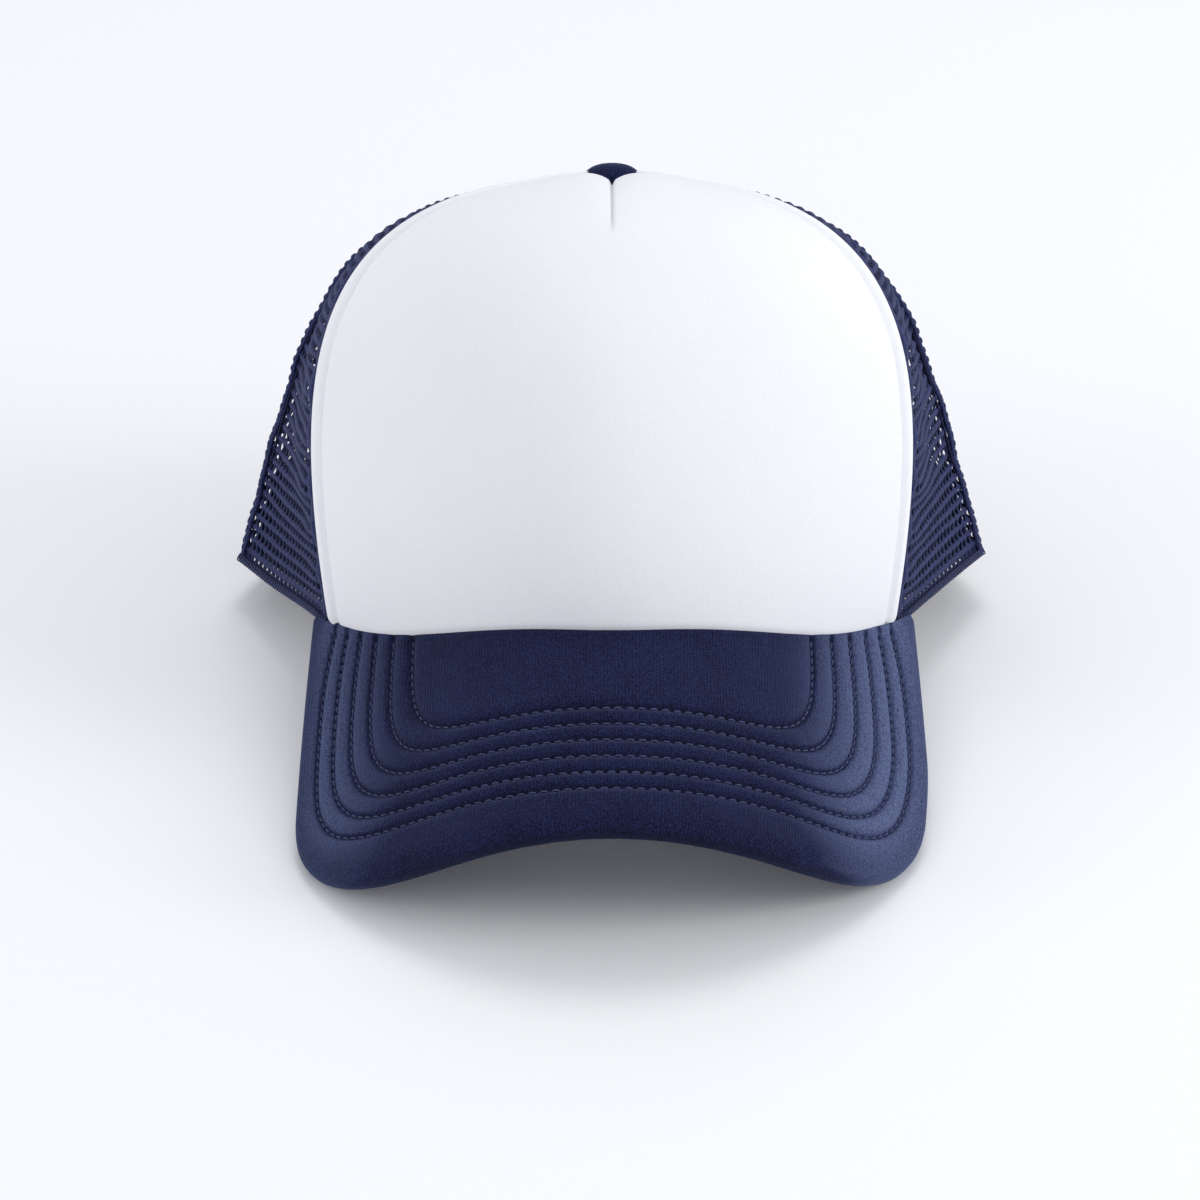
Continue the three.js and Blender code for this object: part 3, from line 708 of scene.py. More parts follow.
def panel_puff(at, height):
    """How far the front panel stands out of the plain crown: a dart sewn in at the top with
    a soft lobe on each side of it, and a shallow hollow below it."""
    aside = np.abs(crown(at, height)[..., 0])
    from_top = crown_height(0) - height
    dart = 1 - smooth_step(from_top, 40, 48)
    valley = -1.5 * np.exp(-aside / 1.9) * (1 - smooth_step(from_top, 10, 34))
    seam = -0.8 * bump_at(aside, 0, 0.5) * dart
    pinch = -0.45 * bump_at(aside, 0, 3.5) * dart
    lobes = bump_at(aside, 8, 9) * (1 - smooth_step(from_top, 14, 44))
    below = bump_at(from_top, 58, 12) * bump_at(aside, 0, 16)
    return valley + seam + pinch + lobes - 0.5 * below


def panel_line_shade(at, height):
    """The painted shade in the dart's seam and in the pressed lines."""
    aside = np.abs(crown(at, height)[..., 0])
    dart = 1 - smooth_step(crown_height(0) - height, 45, 47.5)
    inside = edge_distance(at, height)
    return 0.26 * dart * bump_at(aside, 0, 0.55) + 0.08 * bump_at(inside, FOLD_LINE, 0.5)


def seam_scale(side, height):
    """Real mm beside a front seam for each mm along the base line."""
    seam, beside = (crown(side * (FRONT_SEAM - step), height) for step in (0, 1))
    return np.linalg.norm(seam - beside, axis=-1)


def edge_distance(at, height):
    """Distance in mm from a place on the front panel to the nearer front seam."""
    return (FRONT_SEAM - np.abs(at)) * seam_scale(np.where(at < 0, -1.0, 1.0), height)


def panel_press(at, height):
    """The topstitched fold along the front seams, rounded over at its edge."""
    inside = edge_distance(at, height)
    line = -0.8 * bump_at(inside, FOLD_LINE, 0.75)
    fold = 0.55 * (1 - smooth_step(inside, 3.0, 5.0))
    rounded = -0.85 * (1 - np.sqrt(np.clip(1 - (1 - np.clip(inside / 1.1, 0, 1)) ** 2, 0, 1)))
    return line + fold + rounded


def panel_low(at):
    """The lower edge of the panel, with rounded corners at the front seams."""
    radius = 3.2
    into = np.clip(np.abs(at) - (FRONT_SEAM - radius), 0, radius)
    return BASE_CLEAR + radius - np.sqrt(radius**2 - into**2)


def panel_grid(columns, rows, top_margin):
    at = np.linspace(-FRONT_SEAM + 0.2, FRONT_SEAM - 0.2, columns)[:, None]
    share = np.linspace(0, 1, rows)[None, :]
    low = panel_low(at)
    height = low + (crown_height(at) - top_margin - low) * share
    at = np.broadcast_to(at, height.shape)
    across = crown(at, height)[..., 0]
    return at, height, np.stack([across, height], -1)


def front_panel():
    at, height, cloth = panel_grid(245, 170, TOP_HOLE)
    puff = panel_puff(at, height) + panel_press(at, height)
    base_roll = -0.6 * np.exp(-((height - panel_low(at)) / 0.8) ** 2)
    outer = crown(at, height, -(puff + base_roll))
    inner = crown(at, height, FACE_THICK - puff)
    pile = add_shell(Pile(), outer, inner, cloth.reshape(-1, 2), panel_line_shade(at, height))
    piece = pile.build("front_panel_cloth", WHITE_CLOTH)
    place(piece, "white_cloth", "front_panel_face")
    return piece


def front_foam():
    at, height, cloth = panel_grid(140, 100, TOP_HOLE + 9)
    puff = panel_puff(at, height)
    outer = crown(at, height, FOAM_OUTER - puff)
    inner = crown(at, height, FOAM_INNER - puff * 0.6)
    pile = add_shell(Pile(), outer, inner, cloth.reshape(-1, 2))
    piece = soften_rim(pile.build("front_foam", FOAM), 0.8)
    place(piece, "foam", "front_panel_foam")
    return piece


def front_panel_stitches():
    """White topstitching on the fold along the front seams."""
    pile = Pile()
    for side in (-1, 1):
        height = np.linspace(4, float(crown_height(FRONT_SEAM)) - 8, 400)
        at = side * (FRONT_SEAM - FOLD_STITCHES / np.maximum(seam_scale(side, height), 0.05))
        keep = np.abs(at) > 4
        at, height = at[keep], height[keep]
        points, normals = crown_both(at, height, -(panel_press(at, height)))
        add_stitches(pile, points, normals, lift=-0.08, rise=0.14, radius=0.15)
    place(pile.build("front_panel_topstitch", WHITE_THREAD), "white_cloth")


# ---- mesh fabric


def billow(at, height):
    """How far the soft mesh stands out of the plain crown: folds that gather low down
    towards the front seams, and slack between the seams."""
    at, height = np.broadcast_arrays(*np.atleast_1d(at, height))
    behind = np.abs(at) - FRONT_SEAM
    low = smooth_step(height, 3, 12) * (1 - smooth_step(height, 55, 100))
    phase = (height + 0.25 * behind + 2.2 * np.sin(behind / 9)) / 12.5
    folds = 0.5 * np.sin(2 * math.pi * phase) * np.exp(-np.maximum(behind, 0) / 45) * low
    slack = 0.3 * np.sin(2 * math.pi * (height / 31 + at / 57)) * smooth_step(height, 8, 30)
    slack = slack * (1 - smooth_step(height, 115, 150))
    corner = bump_at(behind, SIDE_SEAM - FRONT_SEAM, 32) * (1 - smooth_step(height, 100, 150))
    return np.where(behind > 0, folds + slack, 0) - 1.0 * corner * smooth_step(behind, 0, 20)


def sag(at):
    """How much lower the edge hangs round the right side's corner."""
    behind = np.abs(at) - FRONT_SEAM
    sagging = smooth_step(behind, 5, 45) * (1 - smooth_step(behind, 75, 115))
    return np.where(at < 0, 2.0 * sagging, 0)


def mesh_low(at):
    return MESH_LOW - sag(at)


def cloth_map(first, last):
    """Turns flat cloth coordinates of a panel, mm across from its middle line and mm up, into
    places on the crown, so that the holes keep their size up the tapering panel."""
    shares = np.linspace(0, 1, 61)
    at = first + (last - first) * np.linspace(0, 1, 33)
    tall = float(crown_height((first + last) / 2)) - TOP_HOLE - MESH_LOW
    span = crown_height(at) - TOP_HOLE - mesh_low(at)
    height = mesh_low(at)[:, None] + span[:, None] * shares
    rows = crown(np.broadcast_to(at[:, None], height.shape), height)
    width = np.linalg.norm(np.diff(rows, axis=0), axis=-1).sum(0)

    def mapped(across, up):
        share = np.clip(up / tall, 0, 1)
        side = np.clip(0.5 + across / np.interp(share, shares, width), 0, 1)
        place_at = first + (last - first) * side
        low = mesh_low(place_at)
        return place_at, low + (crown_height(place_at) - TOP_HOLE - low) * share

    def width_at(up):
        return np.interp(up / tall, shares, width)

    return mapped, width_at, tall


def cell_outlines():
    """The boundary of one cell of the fabric, a hexagon with its edges halved, and its hole."""
    half, point = CELL_ACROSS / 2, CELL_UP / 2 + CELL_ACROSS**2 / (8 * CELL_UP)
    shoulder = CELL_UP - point
    corners = np.array([[half, -shoulder], [half, shoulder], [0, point],
                        [-half, shoulder], [-half, -shoulder], [0, -point]])
    after = np.roll(corners, -1, axis=0)
    boundary = np.stack([corners, (corners + after) / 2], 1).reshape(-1, 2)
    angle = np.arctan2(boundary[:, 1] / HOLE_UP, boundary[:, 0] / HOLE_ACROSS)
    return boundary, superellipse(angle, HOLE_POWER) * [HOLE_ACROSS, HOLE_UP]


def cell_centres(width_at, tall):
    centres = []
    for row in range(int(tall / CELL_UP) + 1):
        up = (row + 0.5) * CELL_UP
        reach = float(width_at(min(up, tall))) / 2
        offset = CELL_ACROSS / 2 * (row % 2)
        columns = np.arange(-60, 61) * CELL_ACROSS + offset
        columns = columns[np.abs(columns) < reach + 0.2 * CELL_ACROSS]
        lean = 0.16 if row % 2 else -0.16
        centres += [(x, up, lean) for x in columns if up < tall]
    return np.array(centres)


def arch_clamp(at, height, grow):
    """Moves places that lie inside the arch out to its edge. Says which ones were inside."""
    aside = BACK_SEAM - np.abs(at)
    radius = (np.abs(aside / (ARCH_HALF_WIDTH + grow)) ** ARCH_POWER
              + (np.maximum(height, 0) / (ARCH_HEIGHT + grow)) ** ARCH_POWER) ** (1 / ARCH_POWER)
    inside = radius < 1
    scale = np.where(inside, 1 / np.maximum(radius, 1e-6), 1)
    side = np.where(at < 0, -1, 1)
    return side * (BACK_SEAM - aside * scale), height * scale, inside


def welded(points):
    """Each point's number among the distinct ones, and the first index of each."""
    key = np.round(points / 0.02).astype(np.int64)
    _, first, number = np.unique(key, axis=0, return_index=True, return_inverse=True)
    return number.ravel(), first


def mesh_fabric(name, node, first, last, arch=False):
    """One panel of open mesh: a net of rounded strands round staggered holes."""
    mapped, width_at, tall = cloth_map(first, last)
    centres = cell_centres(width_at, tall)
    boundary, hole = cell_outlines()
    rng = np.random.default_rng(7)
    size = 1 + 0.1 * rng.uniform(-1, 1, (len(centres), 1, 1))
    size = np.where(centres[:, 1, None, None] < CELL_UP, 0.4, size)
    hole = hole[None] * size
    hole = hole + np.stack([hole[..., 1] * centres[:, 2:3], 0 * hole[..., 0]], -1)
    grow = ARCH_BINDING - 1.8  # the net ends under the binding
    if arch:
        at, height = mapped(centres[:, 0], centres[:, 1])
        keep = ~arch_clamp(at, height, grow)[2]
        centres, hole = centres[keep], hole[keep]
    boundary = np.broadcast_to(boundary, hole.shape)
    crest, flats = [], []
    for share in (0.0, 0.29, 1.0):  # from the hole's edge to the boundary
        flat_points = centres[:, None, :2] + hole + (boundary - hole) * share
        at, height = mapped(flat_points[..., 0], flat_points[..., 1])
        if arch:
            at, height, _ = arch_clamp(at, height, grow)
        crest.append((at, height))
        flats.append(flat_points)
    cells = len(centres)
    cell_index = np.arange(cells * CELL_SIDES).reshape(cells, CELL_SIDES)
    number, distinct = welded(np.stack([crest[2][0].ravel(), crest[2][1].ravel()], -1))
    edge_index = number.reshape(cells, CELL_SIDES)

    def layer(ring, depth_share, pick=None):
        at, height = (part.ravel() for part in crest[ring])
        cloth = flats[ring].reshape(-1, 2)
        if pick is not None:
            at, height, cloth = at[pick], height[pick], cloth[pick]
        ridge = np.cos(cloth[:, 1] * 2 * math.pi / CELL_UP)
        depth = MESH_DEPTH + depth_share * MESH_THICK - MESH_RIDGE * ridge
        # Painted shade in the troughs where the rows of holes lie back.
        shade = 0.55 * smooth_step(-ridge, -0.6, 1)
        return crown(at, height, depth - billow(at, height)), cloth, shade

    parts = [layer(0, 0.5), layer(1, 0.146), layer(1, 0.854),
             layer(2, 0.0, distinct), layer(2, 1.0, distinct)]
    starts = np.cumsum([0] + [len(part[0]) for part in parts])
    index = [own + start for own, start in zip([cell_index] * 3 + [edge_index] * 2, starts)]

    def band(inner, outer):
        after = [np.roll(ring, -1, 1) for ring in (inner, outer)]
        return np.stack([inner, *after, outer], -1).reshape(-1, 4)

    top = np.concatenate([band(index[0], index[1]), band(index[1], index[3])])
    under = np.concatenate([band(index[0], index[2]), band(index[2], index[4])])[:, ::-1]
    edges = np.stack([edge_index, np.roll(edge_index, -1, 1)], -1).reshape(-1, 2)
    key = np.sort(edges, 1)
    _, group, count = np.unique(key, axis=0, return_inverse=True, return_counts=True)
    free = edges[(count[group.ravel()] == 1) & (edges[:, 0] != edges[:, 1])]
    walls = np.stack([free[:, 0] + starts[3], free[:, 1] + starts[3],
                      free[:, 1] + starts[4], free[:, 0] + starts[4]], -1)
    points, cloth, shade = (np.concatenate(values) for values in zip(*parts))
    faces = np.concatenate([top, under, walls])
    pile = Pile()
    pile.add(points, outward(points, [faces]), cloth, shade)
    add_selvedges(pile, first, last, arch)
    piece = pile.build(name, NAVY_MESH, sharp=80)
    place(piece, "navy_mesh", node)
    return piece


def seam_line(seam, height, puffed_at=None):
    """Points up a seam, the normals there and the way across it. The points stand out with
    the mesh as it does at puffed_at."""
    points, normals = crown_both(np.full(height.shape, float(seam)), height)
    if puffed_at is not None:
        points = points + normals * billow(np.full(height.shape, puffed_at), height)[:, None]
    return points, normals, unit(np.cross(unit(np.gradient(points, axis=0)), normals))


def add_strip(pile, line, height, section, shift, depth):
    """A strip with a rounded section up a seam line, moved across it and in under it."""
    points, normals, across = (part[:, None] for part in line)
    loops = points + across * (section[:, :1] + shift) + normals * (section[:, 1:] - depth)
    cloth = np.stack(np.broadcast_arrays(section[:, 0][None], height[:, None]), -1)
    add_tube(pile, loops, cloth)


def add_selvedges(pile, first, last, arch):
    """The folded edges of a mesh panel along its seams."""
    for seam, towards in ((first, last), (last, first)):
        side = np.sign(towards - seam)
        low = ARCH_HEIGHT + 3 if arch and abs(seam) > SIDE_SEAM + 1 else MESH_LOW
        top = float(crown_height(seam)) - TOP_HOLE - 3
        height = np.linspace(low, top, 130)
        points, normals, across = seam_line(seam, height, seam + side * 2)
        section = oval(1.15, 0.62, 10, 2.6)
        add_strip(pile, (points, normals, across * side), height, section, 1.3, 0.45)


def seam_topstitches():
    """Navy stitching on both sides of the side seams and the back seam."""
    pile = Pile()
    for seam in (SIDE_SEAM, -SIDE_SEAM, BACK_SEAM):
        low = ARCH_HEIGHT + 6 if seam == BACK_SEAM else HEM_HEIGHT + 0.5
        height = np.linspace(low, float(crown_height(seam)) - 12, 300)
        points, normals, across = seam_line(seam, height, seam)
        for aside in (-1.9, 1.9):
            add_stitches(pile, points + across * aside, normals, lift=0.12)
    place(pile.build("seam_topstitch", NAVY_THREAD), "navy_trim")


# ---- hems, bindings and tapes


def hem_low(at):
    dip = smooth_step(np.abs(at), SIDE_SEAM + 10, SIDE_SEAM + 50)
    return BASE_CLEAR - (BASE_CLEAR + HEM_DIP) * dip


def hem_place(at, share, out):
    """A point of the hem: share up its height, and mm out of the crown's surface. It is
    pressed level where it stands on the table."""
    low = hem_low(at) - sag(at)
    height = low + (HEM_HEIGHT + 0.4 - sag(at) - low) * share
    points = crown(at, height, -(out + billow(at, np.maximum(height, 0))))
    points[..., 2] = np.maximum(points[..., 2], GROUND)
    return points


def hems():
    for name, side in LEFT_RIGHT:
        foot = BACK_SEAM - ARCH_HALF_WIDTH - ARCH_BINDING - 0.1
        at = side * np.linspace(FRONT_SEAM + 0.2, foot, 260)[:, None]
        section = oval(0.5, 0.95, 18, 3.0)
        waver = 0.06 * np.sin(np.abs(at) * 2.1) * np.sin(np.abs(at) * 0.37)
        loops = hem_place(at, section[:, 0] + 0.5, section[:, 1] - 0.55 + waver)
        cloth = np.stack(np.broadcast_arrays(at, section[:, 0] * 5 + section[:, 1]), -1)
        pile = add_tube(Pile(), loops, cloth)
        place(pile.build(f"hem_binding_{name}", NAVY_TRIM), "navy_trim", f"side_hem_{name}")
        overlock(name, side, foot)


def overlock(name, side, foot):
    """Slanting loops of thread round the edge of the hem."""
    pitch = 1.35
    count = int((foot - FRONT_SEAM) / pitch)
    turn = np.linspace(-0.1, 1.0, 12)
    pile = Pile()
    sides = 5
    ring_turn = turns(sides)
    for number in range(count):
        at = side * (FRONT_SEAM + 0.6 + number * pitch + turn * pitch * 0.9)
        share = 1.0 - 1.06 * np.sin(np.clip(turn, 0, 1) * math.pi / 2) ** 1.2
        out = 0.42 + 0.16 * np.sin(turn * math.pi) - 0.9 * np.clip(turn - 0.82, 0, 1) / 0.18
        line = hem_place(at, share, out)
        ahead = unit(np.gradient(line, axis=0))
        normal = crown_both(at, np.full(at.shape, 2.0))[1]
        across = unit(np.cross(ahead, normal))
        up = np.cross(across, ahead)
        ring = (across[:, None] * np.cos(ring_turn)[:, None]
                + up[:, None] * np.sin(ring_turn)[:, None])
        add_tube(pile, line[:, None] + ring * 0.21,
                 np.stack(np.broadcast_arrays(turn[:, None] * 4, ring_turn * 0.2), -1))
    place(pile.build(f"hem_overlock_{name}", NAVY_THREAD), "navy_trim")


def arch_path(grow, steps):
    """Places along the edge of the arch, or of an arch larger by grow."""
    x, y = superellipse(np.linspace(0, math.pi, steps), ARCH_POWER).T
    height = np.maximum(y * (ARCH_HEIGHT + grow), BASE_CLEAR)
    return BACK_SEAM - x * (ARCH_HALF_WIDTH + grow), height


def arch_binding():
    """Tape folded over the edge of the arch, with a row of stitches along it."""
    section = oval(ARCH_BINDING / 2, 0.95, 20, 3.2)
    rows = []
    for across, out in section:
        at, height = arch_path(ARCH_BINDING / 2 + across, 150)
        rows.append(crown(at, height, 0.55 - out))
    loops = np.stack(rows, 1)
    along = np.linspace(0, 190, len(loops))[:, None]
    cloth = np.stack(np.broadcast_arrays(along, section[:, 0] * 1.0 + section[:, 1] * 2), -1)
    pile = add_tube(Pile(), loops, cloth)
    place(pile.build("arch_tape", NAVY_TRIM), "navy_trim", "arch_binding")
    thread = Pile()
    at, height = arch_path(ARCH_BINDING - 1.1, 500)
    inside = height > 2
    points, normals = crown_both(at[inside], height[inside])
    add_stitches(thread, points, normals, lift=0.42)
    points, normals = crown_both(at[inside], height[inside], 1.55)
    add_stitches(thread, points, -normals, lift=0.0)
    place(thread.build("arch_stitches", NAVY_THREAD), "navy_trim")


def add_vertical_tape(pile, thread, seam, shift, width, low, high):
    """A tape up the inside of the crown over a seam, with stitches along both its edges."""
    height = np.linspace(low, high, 90)
    points, normals, across = seam_line(seam, height)
    section = oval(width / 2, (TAPE_INNER - TAPE_OUTER) / 2, 16, 4.0)
    add_strip(pile, (points, normals, across), height, section, shift,
              (TAPE_OUTER + TAPE_INNER) / 2)
    for side in (-1, 1):
        line = points + across * (shift + side * (width / 2 - 1.2)) - normals * TAPE_INNER
        add_stitches(thread, line, -normals, lift=0.0, radius=0.2)


def inside_tapes():
    low, aside = BAND_HEIGHT + 1, TAPE_WIDTH / 2 + 1
    tapes = []
    for name, side in LEFT_RIGHT:
        # The across vector points towards the front on the left side and away on the right.
        tapes += [(f"front_{{}}_{name}", side * FRONT_SEAM, -side * aside, TAPE_WIDTH - 1, low, 45),
                  (f"side_{{}}_{name}", side * SIDE_SEAM, 0, TAPE_WIDTH, low, 26)]
    tapes.append(("back_{}", BACK_SEAM, 0, TAPE_WIDTH, ARCH_HEIGHT + ARCH_BINDING + 1, 14))
    thread = Pile()
    for name, seam, shift, width, low, short in tapes:
        tape = Pile()
        high = float(crown_height(seam)) - short
        add_vertical_tape(tape, thread, seam, shift, width, low, high)
        place(tape.build(name.format("tape"), NAVY_TRIM), "navy_trim", name.format("seam_tape"))
    place(thread.build("tape_stitches", NAVY_THREAD), "navy_trim")


def crown_band(name, at, low, high, outer, thick, material):
    """A flat band round the inside of the crown with rounded edges."""
    section = oval(0.5, thick / 2, 22, 4.5)
    height = low + (high - low) * (section[:, 0] + 0.5)
    depth = outer[:, None] + thick / 2 - section[:, 1]
    height, place_at = np.broadcast_arrays(height, at[:, None])
    loops = crown(place_at, height, depth)
    cloth = np.stack([place_at, height], -1)
    return add_tube(Pile(), loops, cloth).build(name, material)


def bill_tape():
    at = np.linspace(-(FRONT_SEAM - 4), FRONT_SEAM - 4, 160)
    outer = np.full(at.shape, BILL_TAPE_OUTER)
    thick = BILL_TAPE_INNER - BILL_TAPE_OUTER
    piece = crown_band("bill_tape", at, BASE_CLEAR, 12, outer, thick, NAVY_TRIM)
    place(piece, "navy_trim", "bill_seam_tape")


def sweatband():
    end = BACK_SEAM - ARCH_HALF_WIDTH - 1
    at = np.linspace(-end, end, 300)
    share = smooth_step(np.abs(at), FRONT_SEAM, FRONT_SEAM + 25)
    outer = BAND_DEPTH_FRONT + (BAND_DEPTH_BACK - BAND_DEPTH_FRONT) * share
    piece = crown_band("sweatband_twill", at, 1, BAND_HEIGHT, outer, BAND_THICK, BAND_CLOTH)
    place(piece, "sweatband_cloth", "sweatband")
    thread = Pile()
    for height in (3.5, BAND_HEIGHT - 3):
        points, normals = crown_both(at, np.full(at.shape, float(height)), outer + BAND_THICK)
        add_stitches(thread, points, -normals, lift=0.02)
    place(thread.build("sweatband_stitches", NAVY_THREAD), "sweatband_cloth")


# ---- bill

ROWS = 6
ROW_GAP = 5.38  # between stitch rows at the middle of the front
ROW_FRONT = 53.1  # the outermost row, ahead of the seam
FRONT_SAG = 0.0223  # how the rows fall back from the middle
ROW_STEP = 0.8
ROUNDING = 35  # points of a row that are averaged, three times over, to round its corners
PUFF, PUFF_WIDTH = 1.45, 1.25  # of the padding between the rows
PULLED_IN = 1.05  # the rows lie this much under the plain surface
NEEDLE_PULL = 0.25


def row_side(number):
    """How far across the bill a row runs at its side, 0 for the outermost row."""
    return 84.9 - 4.6 * number - 0.23 * number**2


def row_lines():
    """The stitch rows on the flat bill pattern: up one side from the seam, round a corner,
    across the front and back to the seam."""
    lines = []
    for number in range(ROWS):
        side = row_side(number)
        front = ROW_FRONT - ROW_GAP * number
        corner = front - FRONT_SAG * side**1.5
        start = float(seam_ahead(side)) - 4
        ahead = np.arange(start, corner, 0.5)
        across = side - 0.006 * np.minimum(0, ahead + 20) ** 2
        over = np.linspace(side, 0, 180)[1:]
        half = np.concatenate([
            np.stack([across, ahead], -1),
            np.stack([over, front - FRONT_SAG * over**1.5], -1),
        ])
        line = np.concatenate([half, (half * [-1, 1])[::-1][1:]])
        line = at_lengths(line, np.arange(0, lengths_along(line)[-1], ROW_STEP))
        box = np.ones(ROUNDING) / ROUNDING
        reach = ROUNDING // 2
        for _ in range(3):
            ends = 2 * line[0] - line[reach:0:-1], 2 * line[-1] - line[-2:-reach - 2:-1]
            padded = np.concatenate([ends[0], line, ends[1]])
            line = np.stack([np.convolve(padded[:, k], box, "valid") for k in (0, 1)], -1)
        lines.append(line)
    return lines


ROW_LINES = row_lines()


def row_distance(across, ahead):
    """Distance on the flat pattern to the nearest stitch row, and along that row."""
    best = np.full(across.size, 1e9)
    along = np.zeros(across.size)
    flat = np.stack([across.ravel(), ahead.ravel()], -1)
    for line in ROW_LINES:
        line = line[::2]
        lengths = lengths_along(line)
        step = line[1:] - line[:-1]
        size = (step**2).sum(1)
        for low in range(0, len(flat), 4000):
            part = flat[low:low + 4000, None]
            t = np.clip(((part - line[:-1]) * step).sum(-1) / size, 0, 1)
            gap = np.linalg.norm(part - line[:-1] - t[..., None] * step, axis=-1)
            pick = gap.argmin(1)
            rows = np.arange(len(pick))
            near = gap[rows, pick]
            better = near < best[low:low + 4000]
            best[low:low + 4000][better] = near[better]
            place_along = lengths[pick] + t[rows, pick] * np.sqrt(size[pick])
            along[low:low + 4000][better] = place_along[better]
    return best.reshape(across.shape), along.reshape(across.shape)


def quilting(across, ahead, strength=1.0):
    """How far the padded cover rises between its stitch rows, and the painted shade in them. It is
    pulled in at each row, and a little further where the needle went through."""
    gap, along = row_distance(across, ahead)
    needle = np.cos(along * 2 * math.pi / STITCH_PITCH)
    pulled = bump_at(gap, 0, 0.7)
    puffed = PUFF * (1 - np.exp(-np.abs(gap / PUFF_WIDTH) ** 1.4))
    shade = bump_at(gap, 0, 0.75) * (0.8 - 0.2 * needle)
    return strength * (puffed - PULLED_IN + NEEDLE_PULL * needle * pulled), shade


# The rolled cloth stays back a little at the front. The bill is bent by hand, and its right
# side is spread further at the horn than at the front corner.
FRONT_TRIM = (2.0, 1.4)  # at the middle, and how much more towards the corners
SPREAD = {-1: (2.5, 2.5), 1: (3.4, 0.2)}  # at the horn and at the front corner
CORNER_POWER = {-1: 2.54, 1: 2.4}


def bent_bill(across, ahead, depth=0.0):
    """Points of the bill, with its two sides spread a little."""
    points = bill_point(across, ahead, depth)
    share = smooth_step(np.asarray(ahead, float), 0, 45)
    aside = [horn + (corner - horn) * share for horn, corner in (SPREAD[-1], SPREAD[1])]
    spread = np.where(np.asarray(across) < 0, -aside[0], aside[1])
    points[..., 0] += spread * smooth_step(np.abs(across), 45, 92)
    return points


def bill_front_edge(t, side):
    """The front edge of the flat pattern from the middle (t 0) to a horn (t 1)."""
    corner = 0.6
    angle = np.minimum(t / corner, 1) * math.pi / 2
    power = 2 / CORNER_POWER[side]
    down = np.clip((t - corner) / (1 - corner), 0, 1)
    across = np.where(t < corner, BILL_HALF_WIDTH * np.sin(angle) ** power,
                      BILL_HALF_WIDTH + (HORN_ACROSS - BILL_HALF_WIDTH) * down**2)
    trim = FRONT_TRIM[0] + FRONT_TRIM[1] * smooth_step(across, 0, 62)
    reach = BILL_LENGTH - trim - BILL_WIDEST_AHEAD
    ahead = BILL_WIDEST_AHEAD + np.where(
        t < corner, reach * np.maximum(0, np.cos(angle)) ** power,
        (float(seam_ahead(HORN_ACROSS)) - BILL_WIDEST_AHEAD) * down)
    return np.stack([across, ahead], -1)


def bill_edges(side):
    """Flat pattern points at the seam and at the front edge for cross lines of the bill."""
    t = np.linspace(0, 1, 1201)
    across = HORN_ACROSS * (1 - (1 - t) ** 2)
    seam = np.stack([across, seam_ahead(across)], -1)
    ends = []
    for left, right in ((seam, seam), (bill_front_edge(t, -1), bill_front_edge(t, 1))):
        halves = [at_lengths(line, np.abs(side) * lengths_along(line)[-1])
                  for line in (left, right)]
        point = np.where(side[:, None] < 0, halves[0] * [-1, 1], halves[1])
        ends.append(point)
    return ends


# Where the bill's cross lines are, from one horn (-1) to the other (1), closer together
# towards the horns. They stop just short of the horns, where the lines would have no length.
CROWDING = math.pi / 2 * 0.93
SIDES = np.sin(np.linspace(-1, 1, 331) * CROWDING) / math.sin(CROWDING) * 0.985


def shoulder(inside):
    """How far the padded surface falls away towards the bill's front edge."""
    share = np.clip(1 - inside / 8, 0, 1)
    return 0.55 * share**2


